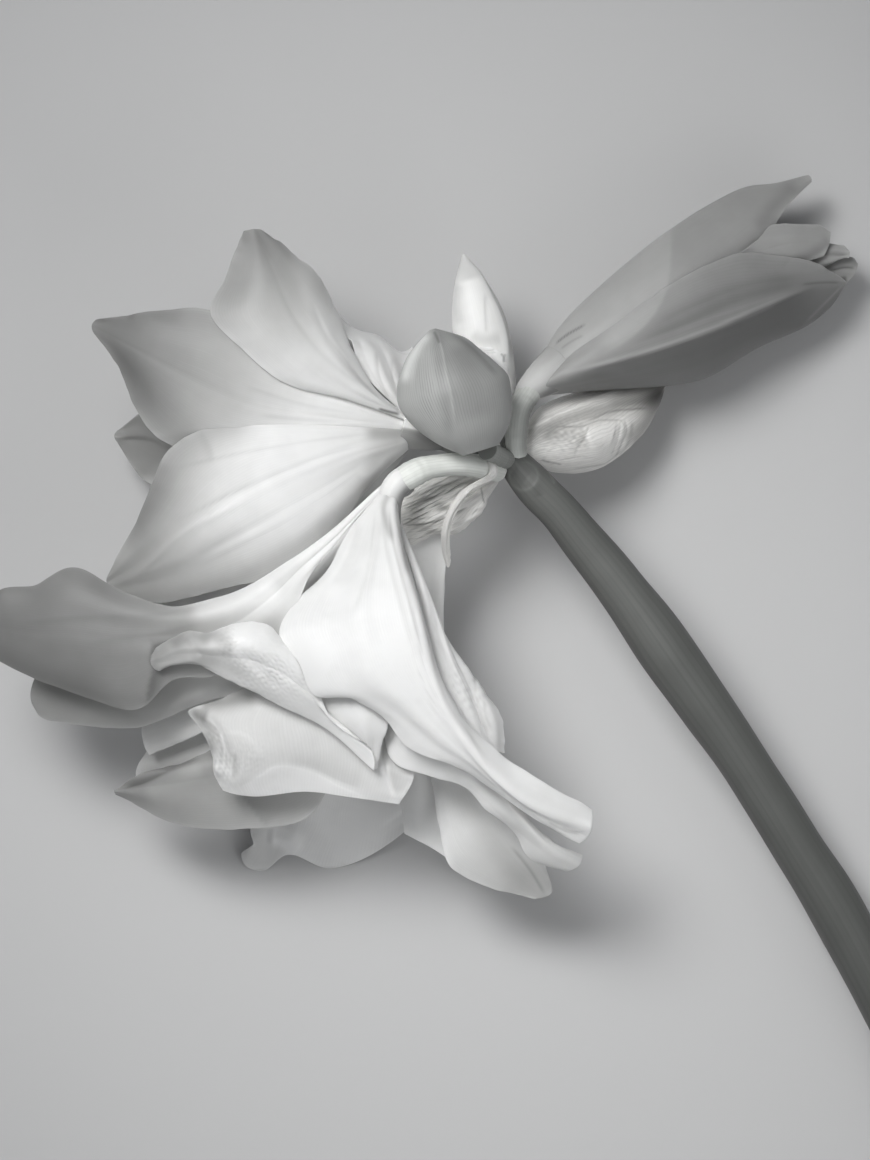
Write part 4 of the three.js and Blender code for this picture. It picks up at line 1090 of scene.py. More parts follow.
# %% Hanging bloom: the inner petal and its neighbours
HANGING_BLOOM |= {
    "inner": dict(
        guides=[
            [(-26, 25, 68), (-50, -14, 76), (-76, -43, 83), (-90, -48.5, 85), (-98.5, -52.5, 84),
                (-92, -60, 84), (-88.5, -70, 82), (-88, -78, 80), (-84.5, -83.5, 76)],
            [(-24, 25, 69), (-46, -18, 80), (-66, -46, 88), (-73, -66, 88), (-76, -78, 83),
                (-73, -86.3, 77)],
            [(-22, 24, 70), (-36, -20, 82), (-46, -50, 89), (-49, -68, 87), (-51, -84.5, 79)],
            [(-20, 24, 69), (-24, -20, 80), (-27, -50, 87), (-29, -68, 85), (-31, -87, 78)],
            [(-18, 24, 67), (-15, -20, 76), (-17, -50, 83), (-14, -66, 84), (-8.5, -77.5, 82.5),
                (-14.5, -89.5, 77)],
        ],
        frill=(0.9, 3, 1),
        tone=((0.9, 0.84, 0.9, 0.93), 0.04),
        creases=[
            ([(-98, -53), (-92, -57.5), (-88.8, -64), (-87, -72), (-85.5, -80)], 1.7, 2.2, 2.2),
            ([(-94, -53.5), (-87, -59), (-83.5, -66), (-81.5, -74), (-80, -82)], -0.9, 1.6, 1.6),
            ([(-84, -61.5), (-77, -62), (-71.5, -67), (-69, -73)], 0.4, 5, 1),
            ([(-78, -83), (-70, -78.5), (-64, -74.8), (-56, -75), (-47, -78), (-38, -83), (-30, -86)],
                0.35, 6, 1.4),
            ([(-20.5, -58), (-20.6, -70), (-18.4, -79), (-15.5, -88.5)], -0.9, 1, 5),
        ],
        puckers=[
            (-84, -74, 7, 0.05, 1.5, 100, 1.5),
            (-88, -63, 5, 0.045, 1.4, 110, 1.6),
            (-74, -70, 7, 0.03, 1.6, 60, 1.4),
        ],
        shades=[
            ([(-95, -50), (-84, -49), (-70, -46.5)], -0.2, 3.5, 3),
            ([(-96, -54), (-88, -59), (-84.5, -67), (-82.5, -76)], -0.1, 2.4, 0.9),
            ([(-98, -52), (-93, -56.5), (-89.6, -63), (-88.4, -71)], -0.16, 1.6, 1.6),
            ([(-86, -60), (-84, -68), (-84.6, -76)], 0.1, 0.5, 0.5),
            ([(-80, -68), (-79.5, -74), (-81, -80)], -0.09, 0.8, 1.2),
            ([(-80, -84), (-70, -78.6), (-64, -74.9), (-56, -75.1), (-47, -78), (-38, -83), (-26, -87)],
                0.14, 12, 0.6),
            ([(-60, -72.5), (-48, -75), (-38, -79.5), (-28, -83)], -0.06, 0.8, 5),
            ([(-21, -58), (-20.8, -70), (-18.6, -79), (-15.5, -88.5)], -0.1, 0.6, 7),
            ([(-19, -72), (-18.6, -79), (-16.2, -87)], 0.12, 0.8, 1),
            ([(-102, -50), (-96, -52.5), (-90, -55)], -0.2, 2.5, 2.5),
        ],
    ),
    "lower_left": dict(
        guides=[
            [(-26, 23, 60), (-55, -26, 60), (-80, -60, 58), (-100, -72, 56), (-118, -78, 52),
                (-128.5, -84, 46)],
            [(-24, 21, 62), (-50, -34, 64), (-76, -70, 63), (-102, -79, 58), (-128.5, -84.5, 47)],
            [(-20, 19, 60), (-32, -40, 59), (-50, -94, 57), (-78, -99.3, 54), (-104, -97.5, 50),
                (-121, -90, 46), (-128, -85.5, 45)],
        ],
        frill=(0.6, 2.5, 1),
        tone=((0.84, 0.82, 0.66, 0.56), 0.06),
        creases=[
            ([(-126, -84), (-116, -81), (-103, -74.6), (-92.4, -71)], -0.5, 1, 1.5),
            ([(-79, -84), (-72, -92), (-67, -99)], 0.8, 2, 3),
        ],
        shades=[
            ([(-126, -84), (-116, -81), (-103, -74.6), (-92.4, -71)], -0.1, 1, 2),
            ([(-92, -74), (-104, -80), (-118, -84)], 0.06, 3, 4),
            ([(-78, -84), (-72, -92), (-67, -99)], -0.06, 0.8, 5),
        ],
    ),
    "small_left": dict(
        guides=[
            [(-27, 26, 66), (-70, -28, 68), (-100, -48, 61), (-117, -58, 52)],
            [(-26, 24, 67), (-66, -36, 70), (-95, -54, 62), (-117, -64, 51)],
            [(-24, 23, 66), (-60, -42, 69), (-92, -60, 60), (-114.5, -70, 50)],
        ],
        frill=(0.6, 2, 1),
        tone=((0.95, 0.98, 0.96, 0.86), 0),
    ),
    "far_left": dict(
        guides=[
            [(-26, 23, 56), (-66, -36, 54), (-92, -57, 48), (-115, -69, 38)],
            [(-24, 22, 57), (-60, -43, 55), (-92, -64, 48), (-119, -74, 37)],
            [(-22, 20, 55), (-55, -52, 52), (-90, -75, 44), (-120, -80, 34)],
        ],
        frill=(0.6, 2, 2),
        tone=((1, 1, 0.95, 0.82), 0),
    ),
}
print("hanging bloom so far:", ", ".join(HANGING_BLOOM))

# %% [markdown]
# ### The lowest layer
#
# The waved petal hangs down to the table, and the pointed and the blunt one lie over it. Their waves could
# be left to chance, but the outline at the bottom of the bloom is seen clearly, so its guides follow it.

# %% Hanging bloom: the lowest layer
HANGING_BLOOM |= {
    "waved": dict(
        guides=[
            [(-25, 20, 54), (-46, -40, 36), (-66, -82, 19), (-74, -100, 11), (-73.4, -105.5, 9),
                (-78.2, -110.5, 5)],
            [(-24.5, 20, 54), (-44, -40, 37.5), (-62, -83, 19.5), (-70, -103, 10), (-75.8, -115.6, 2)],
            [(-23, 20, 55), (-40, -40, 39), (-56, -85, 20), (-65, -103, 9), (-69, -117, -0.2)],
            [(-22, 20, 55), (-33, -40, 41), (-46, -85, 22), (-59, -110.4, 6)],
            [(-21, 19, 55), (-25, -40, 39), (-33, -85, 20), (-42, -116, -0.2)],
            [(-19, 18, 54), (-13, -40, 34), (-11.6, -80, 22), (-12, -101, 12)],
        ],
        frill=(1, 2.5, 0.5),
        tone=((1, 1, 1, 0.94), 0.26),
        creases=[
            ([(-68, -103), (-60, -104), (-54, -109)], 1.5, 3, 3),
        ],
        shades=[
            ([(-66, -103), (-60, -104), (-54, -108)], 0.14, 4, 4),
        ],
    ),
    "pointed": dict(
        guides=[
            [(-22, 22, 61), (-10, -30, 60), (-2, -75, 56), (2, -98, 52), (6, -114.5, 50), (22, -123, 47),
                (40, -127.5, 44)],
            [(-20, 23, 63), (0, -30, 68), (13, -72, 65), (28, -104, 58), (46, -126, 45)],
            [(-18, 23, 61), (6, -30, 62), (22, -70, 62), (36, -96, 58), (43.5, -113, 52), (47, -124, 45)],
        ],
        frill=(0.5, 2, 1.5),
        tone=((1, 1, 0.96, 0.72), 0.04),
        shades=[
            ([(0, -84), (1, -96), (3, -108), (6, -118)], 0.06, 0.6, 2),
            ([(10, -84), (24, -104), (40, -124)], -0.07, 6, 4),
            ([(30, -106), (38, -116), (44.6, -127)], -0.1, 0.6, 0.8),
            ([(-4, -70), (2, -82), (14, -90), (30, -98)], -0.05, 4, 4),
        ],
    ),
    "blunt": dict(
        guides=[
            [(-23, 19, 57), (-18, -40, 50), (-15, -80, 45.5), (-12.2, -101.8, 38)],
            [(-21, 20, 58), (-8, -40, 54), (-5, -80, 49), (-4, -106, 39.5)],
            [(-19, 20, 57), (0, -40, 50), (6, -80, 45), (6, -112, 39)],
        ],
        frill=(0.6, 2, 0.1),
        tone=((1, 1, 1, 0.98), 0),
        shades=[
            ([(-9, -76), (-7.4, -92), (-6.4, -108)], 0.1, 0.6, 5),
        ],
    ),
}
print("hanging bloom so far:", ", ".join(HANGING_BLOOM))

# %% [markdown]
# ### The right-hand side
#
# A slender petal runs beside the front one, a ribbed one stands above it, and a far one closes the bloom
# from behind. With them the bloom is complete, and all its pieces are made.

# %% Hanging bloom: the right-hand side
HANGING_BLOOM |= {
    "slender": dict(
        guides=[
            [(-20, 29, 72), (-22, -20, 82), (-21, -58, 87), (-17, -72, 87), (-2, -78, 88), (12, -82, 86),
                (20, -91, 84), (31, -101, 80), (38, -111.5, 77), (52, -116.3, 72)],
            [(-17, 29, 74), (-8, -20, 88), (4, -55, 92), (24, -82, 90), (42, -103, 84), (57.5, -114, 73)],
            [(-15, 28, 72), (0, -20, 80), (12, -55, 84), (30, -84, 84), (45, -104, 80), (58.5, -110, 73)],
        ],
        frill=(0.4, 2, 0.5),
        tone=((1, 1, 1, 0.84), 0),
        shades=[
            ([(0, -76), (16, -84), (30, -97), (46, -110)], -0.05, 0.6, 4),
            ([(14, -77), (22, -84), (31, -91.5), (40, -98), (50, -106)], -0.13, 2, 2.6),
        ],
    ),
    "ribbed": dict(
        guides=[
            [(-18, 31, 76), (-8, 0, 90), (-1, -30, 97.5), (8, -52, 98.5), (18, -67, 95)],
            [(-17, 30, 76), (-3, -4, 90), (8, -34, 96), (16, -52, 95), (23, -68, 90)],
            [(-16, 29, 75), (-5, -10, 85), (5, -26, 88), (18, -41, 87), (26.5, -56, 85), (27.5, -69, 84)],
        ],
        frill=(0.5, 2, 0.5),
        pleat=(0.15, 5, 0.4),
        tone=((0.95, 1, 1, 0.96), 0),
        creases=[
            ([(15.5, -34), (16.2, -46), (18, -55), (22, -63)], -0.7, 2.4, 0.8),
            ([(-3.8, -24), (8, -47.6), (17, -61)], -0.3, 0.9, 0.9),
        ],
        shades=[
            ([(15.5, -34), (16.2, -46), (18, -55), (22, -63)], -0.14, 0.6, 1.2),
            ([(17.6, -38), (19, -46), (20, -54), (23, -61)], -0.07, 0.5, 1),
            ([(0, -22), (9, -40), (16, -54)], -0.05, 1, 1.4),
        ],
        puckers=[(12, -45, 9, 0.06, 1.6, 120, 2.2)],
    ),
    "far_right": dict(
        guides=[
            [(-22, 22, 52), (-18, 0, 44), (-16, -40, 26), (-10, -66, 8)],
            [(-20, 22, 52), (-8, 6, 45), (-4, -30, 31), (4, -70, 4)],
            [(-18, 21, 51), (-6, 19, 48), (4.8, 17, 47), (4.2, 4, 46), (3.4, -14, 39), (6, -40, 22),
                (14, -66, 5)],
        ],
        frill=(0.5, 2, 0.5),
        tone=((1, 1, 1, 1), 0),
    ),
}
WIDE = ("front", "long_left", "crinkled", "inner", "lower_left", "waved", "pointed", "tongue", "ribbed")
add_bloom("bloom_hanging", HANGING_BLOOM, seed=30, wide=WIDE)

# %% [markdown]
# ## The bloom that is opening
#
# Its petals still wrap each other like a rolled flag. Only the tips have let go. One closed body could stand
# for all of them, but overlapping sheets give the stepped outline at the tip and the shadow under each edge.

# %% Opening bloom: the two outer petals
# This bloom's low tones and the near petal's darker flank are painted shade. Its shades are painted shade
# under the ridge, between petals and at the tips, and a painted highlight along the ridge.
OPENING_BLOOM = {
    "near": dict(
        guides=[
            [(42, 75, 52), (70, 80, 28), (100, 88, 14), (130, 101, 9), (152, 111, 15), (163, 117, 26)],
            [(42, 74, 55), (60, 76, 46), (94, 78.5, 33), (110, 82, 29), (130, 93.5, 25), (150, 103, 24),
                (160, 111.5, 26), (164.5, 118, 29)],
            [(42, 77, 61.5), (60, 84, 63), (80, 91, 61), (100, 96, 58), (120, 103, 52.5), (148, 117, 40),
                (165, 119.5, 30)],
            [(42, 80, 60), (66, 99, 59.8), (96, 119, 53.6), (122, 131, 45.4), (140, 130, 41.5),
                (150, 128, 38.5), (160, 123, 33.5), (165, 120, 31)],
        ],
        frill=(0.3, 2, 0.5),
        pleat=(0.5, 4, 0.5),
        tone=((0.58, 0.58, 0.52, 0.5, 0.5), 0.14),
        creases=[
            ([(53.5, 83.6), (77, 88.8), (95.9, 94.6), (112.4, 100.4), (130, 108.4), (145.3, 115.4),
                (154.7, 118.4)], 0.8, 0.7, 4),
        ],
        shades=[
            ([(40, 77), (70, 86), (90, 91.6), (110, 98.2), (130, 106.6), (142, 112.8), (158, 119.4)],
                -0.09, 12, 0.7),
            ([(44, 80.6), (70, 87.6), (90, 93.4), (110, 100.6), (130, 109.4), (150, 118)], 0.1, 0.6, 1),
            ([(76, 93), (98, 102), (120, 112), (152, 121)], -0.06, 1.6, 3.5),
            ([(84, 100), (104, 110), (124, 118), (150, 122)], -0.04, 1, 2.5),
            ([(76, 92.4), (100, 101), (124, 109.6), (146, 117)], 0.03, 0.7, 0.7),
            ([(95, 124), (92, 116), (88, 108), (80, 99), (66, 90)], 0.06, 14, 1),
            ([(146, 118.4), (156, 119.4), (163, 119.4)], -0.08, 0.4, 0.6),
            ([(148, 103), (156, 111), (164, 119)], 0.08, 0.5, 0.5),
        ],
    ),
    "upper": dict(
        guides=[
            [(42, 79, 58), (70, 94, 59), (100, 110, 52), (120, 124, 43.6), (129, 132.5, 38.4),
                (136.5, 142.6, 36.2), (141.5, 150.2, 34), (151.2, 160, 27)],
            [(41, 80, 59), (64, 106, 57), (98, 134, 47), (128, 150, 36), (151, 161.5, 27)],
            [(40, 82, 56), (50, 101, 44), (80, 129, 32), (110, 150, 25), (125, 157.5, 24), (137, 159, 25),
                (150, 162.5, 26)],
            [(41, 82, 52), (55, 98, 32), (84, 122, 15), (112, 140, 10), (130, 150, 13), (149, 161.5, 24)],
        ],
        frill=(0.3, 2, 0.5),
        pleat=(0.4, 4, 0.5),
        tone=((0.7, 0.7, 0.64, 0.62, 0.62), 0.02),
        creases=[
            ([(47, 93), (53, 97.5), (60, 101)], -0.35, 0.5, 0.5),
        ],
        shades=[
            ([(95, 146), (94, 134), (93, 122), (91, 114), (86, 104)], 0.05, 14, 1),
            ([(48, 94), (53, 98), (61, 102.5)], -0.2, 0.4, 0.4),
            ([(50, 92), (55, 95.5), (60, 98)], -0.08, 0.4, 0.4),
            ([(128, 140), (136, 150), (146, 160)], -0.06, 2.5, 3),
        ],
    ),
}
print("opening bloom so far:", ", ".join(OPENING_BLOOM))

# %% [markdown]
# ### The tips inside the opening bloom
#
# Three narrow petals look out between the outer ones, and one more closes the bloom where it lies on the
# table. Only their ends show, so plain guides are enough for the rest.

# %% Opening bloom: the tips and the petal on the table
OPENING_BLOOM |= {
    "middle": dict(
        guides=[
            [(44, 80, 52), (90, 106, 47), (130, 122, 40.5), (156, 130, 33.8)],
            [(44, 81, 54), (90, 112, 48.5), (124, 129, 43), (142, 135.5, 39.4), (158.3, 135.5, 32.8)],
            [(44, 82, 52), (84, 110, 46.5), (112, 123, 44), (124.5, 131.6, 42.8), (130, 137, 41.2),
                (134.6, 142.4, 39), (140, 142.9, 37.4), (148, 142.4, 34.8), (155, 141.8, 32.2),
                (158.6, 139.3, 30.2)],
        ],
        frill=(0.4, 2, 0.5),
        tone=((0.62, 0.62, 0.62, 0.66), 0),
        shades=[
            ([(144, 127), (153, 131.6), (160, 137)], -0.1, 1.5, 2.5),
        ],
    ),
    "tip_a": dict(
        guides=[
            [(46, 82, 48), (120, 113, 34), (152, 124, 30), (166, 130, 29)],
            [(46, 83, 50), (120, 119, 37), (150, 130, 32), (166.5, 131.5, 30)],
            [(46, 84, 48), (114, 123, 34), (144, 134, 30), (157, 135.3, 28), (165, 133, 28)],
        ],
        frill=(0.6, 3, 0.5),
        tone=((0.6, 0.6, 0.6, 0.66), 0),
        shades=[
            ([(150, 128.5), (158, 131), (166, 130.6)], -0.1, 0.6, 1),
        ],
    ),
    "tip_b": dict(
        guides=[
            [(46, 81, 47), (120, 108, 25), (155, 118.6, 21), (165.6, 120.6, 21)],
            [(46, 82, 48), (120, 112, 29), (156, 123, 25), (168.6, 123, 23)],
            [(46, 83, 47), (118, 117, 26), (152, 129, 24), (166.6, 129.8, 23), (170, 127.2, 22.2)],
        ],
        frill=(0.6, 3, 1.5),
        tone=((0.56, 0.56, 0.58, 0.6), 0),
        creases=[
            ([(158, 124), (164, 125.4), (169, 125.2)], -0.5, 0.6, 0.9),
        ],
        shades=[
            ([(158, 124), (164, 125.4), (169, 125.2)], -0.14, 0.5, 0.7),
            ([(156, 119), (162, 120.6), (166, 121.6)], -0.2, 1.5, 1),
        ],
    ),
    "under": dict(
        guides=[
            [(44, 77, 50), (70, 84, 22), (100, 96, 7), (132, 110, 3), (158, 118, 13)],
            [(44, 78, 49), (66, 92, 14), (90, 106, 1), (102, 112, 0.25), (116, 118, 0.25),
                (130, 123, 0.4), (160, 124, 12)],
            [(44, 80, 50), (60, 100, 26), (90, 122, 9), (118, 138, 5), (152, 134, 15)],
        ],
        frill=(0.3, 2, 0.5),
        tone=((0.6, 0.56, 0.5, 0.48), 0),
    ),
}
add_bloom("bloom_opening", OPENING_BLOOM, seed=60, wide=("near", "upper", "middle"))

# %% [markdown]
# ## Stalks
#
# A stalk is a profile carried along a path. A curve with a round bevel would do for a plain tube. Rings of
# points are worked out instead, each square to the path, because the radius then changes slowly, with low
# ribs along it, and bands of painted shade and painted highlight can be drawn on top.

# %% Rings along a path
STALK_GRID = (150, 96)
STALK_RIBS = (9, 0.01)
STALK_WAVES = 6
STALK_SEED = 5
STALK_GAP = 0.02
STALK_DARKEST = 0.03
CAP_SHARE = 0.95


def stalk_rings(path, radii, size, ribs, uneven, seed, ease=1.0):
    """Rings along a smooth path. The radius follows its own smooth line, times one plus the ribs' cosine
    plus a slow unevenness along and around. An ease above 1 crowds the rings at the start."""
    t = np.linspace(0, 1, size[0]) ** ease
    center = line_through(path, t)
    along = unit(np.gradient(center, axis=0))
    right = unit(np.cross(along, [0.0, 0.0, 1.0]))
    up = np.cross(right, along)
    angle = np.arange(size[1]) * 2 * np.pi / size[1]
    radius = line_through([(r,) for r in radii], t, even=True)
    tt, aa = np.meshgrid(t, angle, indexing="ij")
    chance = np.random.default_rng(seed)
    swell = 1 + ribs[1] * np.cos(ribs[0] * aa)
    for _ in range(STALK_WAVES):
        turns, round_about, phase = chance.uniform(1, 14), chance.integers(0, 4), chance.uniform(0, 6.28)
        swell = swell + uneven / 3 * np.sin(2 * np.pi * turns * tt + round_about * aa + phase)
    reach = (radius * swell)[..., None]
    outward = np.cos(aa)[..., None] * right[:, None] + np.sin(aa)[..., None] * up[:, None]
    uv = np.stack([aa / (2 * np.pi), tt], axis=-1)
    return center[:, None] + reach * outward, uv, tt, aa


def capped(ring):
    """The same ring shrunk to CAP_SHARE, so that a flat end turns in a narrow edge."""
    center = ring.mean(axis=1, keepdims=True)
    return center + (ring - center) * CAP_SHARE


def drawn_on_top(rings, aa, marks):
    """Sum of bands along paths seen from above, kept to the upper side of a round body."""
    total = np.zeros(aa.shape)
    for path, change, right, left in marks:
        total = total + crease_height(rings, path, change, right, left)
    return total * smooth(4 * np.sin(aa))


def add_stalk(name, stalk, uneven, material, node):
    """A stalk as a closed round body. Its tone is (first, last, half the change from under to top)."""
    path, radii, (first, last, top) = stalk["path"], stalk["radii"], stalk["tone"]
    rings, uv, tt, aa = stalk_rings(path, radii, STALK_GRID, STALK_RIBS, uneven, STALK_SEED)
    rings = np.concatenate([capped(rings[:1]), rings, capped(rings[-1:])])
    rings[..., 2] = np.maximum(rings[..., 2], STALK_GAP)
    uv, tt, aa = (np.concatenate([field[:1], field, field[-1:]]) for field in (uv, tt, aa))
    marks = drawn_on_top(rings, aa, stalk.get("marks", ()))
    # top * sin(aa) paints light: lighter on top and darker beneath. The marks are mostly bands of painted
    # shade and painted highlight.
    level = np.clip(first + (last - first) * tt + top * np.sin(aa) + marks, STALK_DARKEST, 1)
    values = {"tone": level, "veined": np.ones_like(level)}
    add_piece(name, closed_round(rings), uv, values, material, node)


print("rings and points of a stalk:", STALK_GRID)

# %% [markdown]
# ## The scape
#
# The scape is the thick stem that carries the whole umbel. It narrows towards its top, where a low round
# scar shows, and its cut end is dished where the pith has dried. The dish could be cut with a boolean. Here
# it is a few more rings that step inwards from the last one, which keeps the body closed.

# %% Scape
SCAPE_GRID = (360, 120)
SCAPE_PATH = [
    (31, 48, 62), (35.4, 42.5, 62), (41.2, 36, 61.2), (49.2, 28, 60), (59, 16, 57.6), (72, 0, 54.8),
    (81, -12, 52.5), (98, -36, 47.5), (115, -60, 42.5), (131, -84, 37.5), (146, -108, 32.5),
    (161, -132, 28), (189, -185, 18.4), (216, -238, 10.2),
]
SCAPE_RADII = [6.2, 8.0, 8.1, 9.3, 10.0, 11.4, 10.9, 10.1, 10.0, 10.4, 11.0, 10.8, 10.7, 10.6]
SCAR_X = 35.5
SCAR_Y = 41.6
SCAR_RADIUS = 5.6
SCAR = [
    (SCAR_X + SCAR_RADIUS * np.cos(turn), SCAR_Y + SCAR_RADIUS * np.sin(turn))
    for turn in np.linspace(2.2, 8.4, 15)
]
# Painted light and shade at the top of the scape: a lit rim round the scar, painted shade in its hollow and
# beside it, a painted highlight along one edge and a faint one down the middle.
SCAPE_MARKS = [
    (SCAR, 0.05, 0.9, 0.4),
    ([(31, 44), (34, 42.2), (37, 40)], -0.05, 3.4, 3.4),
    ([(39, 38.5), (41, 36), (42, 33)], -0.05, 1.8, 1.8),
    ([(45.6, 43.5), (46.6, 41), (48, 38)], 0.07, 0.4, 1.0),
    ([(62, 12), (81, -12), (98, -36)], 0.03, 8, 5),
]
SCAPE_RELIEF = [
    (SCAR, 0.18, 1.2, 0.6),
    ([(31, 44), (34, 42.2), (37, 40)], -0.12, 3.2, 3.2),
]
SCAPE_TONE = 0.41
SCAPE_DARKENING = 0.07
SCAPE_TOP_LIGHT = 0.03
PITH_TONE = 0.55
DISH = [(9.9, -0.25), (7.2, -0.1), (5.4, 0.5), (4.2, 3.6), (2.0, 4.8)]

rings, uv, tt, aa = stalk_rings(
    SCAPE_PATH, SCAPE_RADII, SCAPE_GRID, ribs=(12, 0.004), uneven=0.014, seed=3, ease=1.5
)
center = rings.mean(axis=1, keepdims=True)
rings = rings + unit(rings - center) * drawn_on_top(rings, aa, SCAPE_RELIEF)[..., None]
# The skin grows darker towards the cut end, and SCAPE_TOP_LIGHT paints a highlight along its top.
skin = SCAPE_TONE - SCAPE_DARKENING * tt + SCAPE_TOP_LIGHT * np.sin(aa)
skin = skin + drawn_on_top(rings, aa, SCAPE_MARKS)
end = rings[-1].mean(axis=0)
inward = unit(end - rings[-2].mean(axis=0)) * -1
spokes = unit(rings[-1] - end)
hollow = np.stack([end + spokes * reach + inward * depth for reach, depth in DISH])
rings = np.concatenate([rings, hollow])
rings[..., 2] = np.maximum(rings[..., 2], STALK_GAP)
uv = np.concatenate([uv, np.repeat(uv[-1:], len(DISH), axis=0)])
pith = np.full((len(DISH), aa.shape[1]), PITH_TONE)
values = {"tone": np.concatenate([skin, pith]), "veined": np.ones(uv.shape[:2])}
add_piece("scape_stalk", closed_round(rings), uv, values, stalk_finish, "scape")
print("scape triangles:", made["scape_stalk"])

# %% [markdown]
# ## Pedicels
#
# A pedicel is the short stalk of one flower. Each leaves the top of the scape in its own direction, and the
# one of the hanging bloom bends over like a hook. Their tones carry painted shade: those deep among the
# blooms are darker, and each is darker beneath than on top. The hanging bloom's and the opening bloom's also
# have bands of painted shade and painted highlight drawn along them, because in so narrow a place the soft
# light alone leaves them flat. A small pale scale is drawn on the hanging one too.

# %% Pedicels
PEDICEL_UNEVEN = 0.02
PEDICELS = {
    "open": dict(
        path=[(27, 46, 61), (16, 51, 60), (3, 57, 60.5)],
        radii=[4.6, 4.4, 5.0],
        tone=(0.5, 0.5, 0.05),
    ),
    "hanging": dict(
        path=[
            (25, 44, 64), (19, 45.3, 72), (8, 46.2, 79), (-4, 44.4, 84), (-10.5, 41.4, 86.2),
            (-14.8, 38.8, 86),
        ],
        radii=[4.7, 4.7, 4.6, 4.6, 5.5, 4.7],
        tone=(1.0, 0.92, 0.04),
        marks=[
            ([(23, 42), (12, 42.6), (2, 41), (-7, 36.6)], -0.12, 1.6, 3.0),
            ([(23, 47.2), (12, 48.6), (2, 48)], 0.12, 1.5, 1.5),
            ([(12, 50.8), (14.2, 50.3), (16.8, 49.7)], 0.2, 0.5, 0.5),
            ([(-3, 39), (-7, 36), (-11, 34.4), (-15, 34)], -0.2, 1.0, 2.0),
            ([(-3, 47), (-9, 43), (-15, 39)], 0.08, 2.4, 2.0),
        ],
    ),
    "opening": dict(
        path=[(33, 48, 63), (32.4, 57, 67), (33.8, 68, 64.5), (38.4, 76.4, 58.2)],
        radii=[3.8, 4.5, 4.8, 5.0],
        tone=(0.98, 0.8, 0.05),
        marks=[
            ([(36.2, 46), (37, 60), (38.6, 67), (43, 73)], -0.3, 3.4, 3.0),
            ([(29, 57), (28.6, 53), (30.6, 50)], 0.3, 0.5, 0.5),
        ],
    ),
    "round": dict(
        path=[(29, 48, 65), (25.5, 49.5, 72.5), (21, 52, 81)],
        radii=[4, 3.8, 4.2],
        tone=(0.6, 0.66, 0.03),
    ),
    "pointed": dict(
        path=[(30.5, 51, 58), (29, 57, 53.5), (27.2, 63.5, 50.6)],
        radii=[3.6, 3.6, 4.2],
        tone=(0.5, 0.6, 0.05),
    ),
}
for label, stalk in PEDICELS.items():
    add_stalk(
        f"pedicel_{label}_stalk", stalk, PEDICEL_UNEVEN, stalk_finish, f"pedicel_{label}"
    )
print("stalks:", sorted(name for name in made if "stalk" in name))

# %% [markdown]
# ## Throats
#
# Above the pedicel a bloom's petals are grown together in a short tube, the throat. It could be part of
# every petal. A stalk in the petals' finish is simpler, and it runs on until their roots cover it.

# %% Throats
THROAT_UNEVEN = 0.0
# The throats carry painted light and shade: the open bloom's is darker towards its pedicel, with painted
# highlights along it and a lighter band along one flank. The other two have painted shade down one flank.
THROATS = {
    "open": dict(
        path=[(6.5, 55.6, 60.3), (2, 57.2, 60.7), (-5, 59, 61.5), (-14, 61.5, 63)],
        radii=[4.2, 5.9, 7.6, 8.8],
        tone=(0.37, 0.62, 0.04),
        marks=[
            ([(3, 60.8), (-6, 62.8), (-12, 64.4), (-22, 66)], 0.8, 3, 2.0),
            ([(-4, 60), (-12, 61.6), (-22, 63.4)], 0.3, 0.5, 1.0),
            ([(4, 53), (-4, 52), (-12, 52)], 0.10, 3, 3),
        ],
    ),
    "hanging": dict(
        path=[
            (-9, 42.4, 86), (-13, 40, 86.2), (-16.6, 35.8, 86), (-18, 30.5, 84), (-18, 24, 80),
            (-18, 14, 72),
        ],
        radii=[4.1, 5.3, 5.1, 4.6, 4.3, 4],
        tone=(0.94, 0.94, 0.04),
        marks=[([(-7, 37), (-11, 34.6), (-13.6, 30), (-13.4, 22), (-12, 10)], -0.36, 3.4, 3)],
    ),
    "opening": dict(
        path=[(35.2, 71.8, 61.8), (38, 76.2, 58.5), (43, 80.5, 55.5), (50, 85.5, 52)],
        radii=[4.2, 5.7, 7.6, 9.5],
        tone=(0.84, 0.66, 0.04),
        marks=[([(38, 66), (41.5, 71), (48, 75.5), (60, 79)], -0.24, 4.5, 3.5)],
    ),
}
for label, stalk in THROATS.items():
    add_stalk(f"bloom_{label}_throat", stalk, THROAT_UNEVEN, petal_finish, f"bloom_{label}")
print("throats:", sorted(name for name in made if "throat" in name))

# %% [markdown]
# ## Buds
#
# A closed bud is a body round an axis with its own half-width to each side. The wrapping tepals could be
# sheets as in the blooms. Here their margins are low steps drawn as seen from above, because they lie so
# tight that only the steps show. The veins run up and meet at the tip.

# %% The body of a bud
BUD_GRID = (210, 220)
BUD_EASE = 0.7
BUD_VEINED = 0.4


def bud_rings(bud):
    """Rings round a straight axis. To each side and in height a half-width follows its own smooth line."""
    base, tip = (np.array(p, float) for p in bud["axis"])
    t = spread(BUD_GRID[0], BUD_EASE)
    angle = np.arange(BUD_GRID[1]) * 2 * np.pi / BUD_GRID[1]
    along = unit(tip - base)
    right = unit(np.cross(along, [0.0, 0.0, 1.0]))
    up = np.cross(right, along)

    def width(key):
        """The half-width at every t, as a smooth line through the bud's own values."""
        return line_through([(v,) for v in bud[key]], t, even=True)

    side = np.where(np.cos(angle) > 0, width("right"), width("left"))
    tt, aa = np.meshgrid(t, angle, indexing="ij")
    center = base + (tip - base) * tt[..., None]
    across = (side * np.cos(aa))[..., None] * right
    rise = (width("height") * np.sin(aa))[..., None] * up
    return center + across + rise, tt, aa


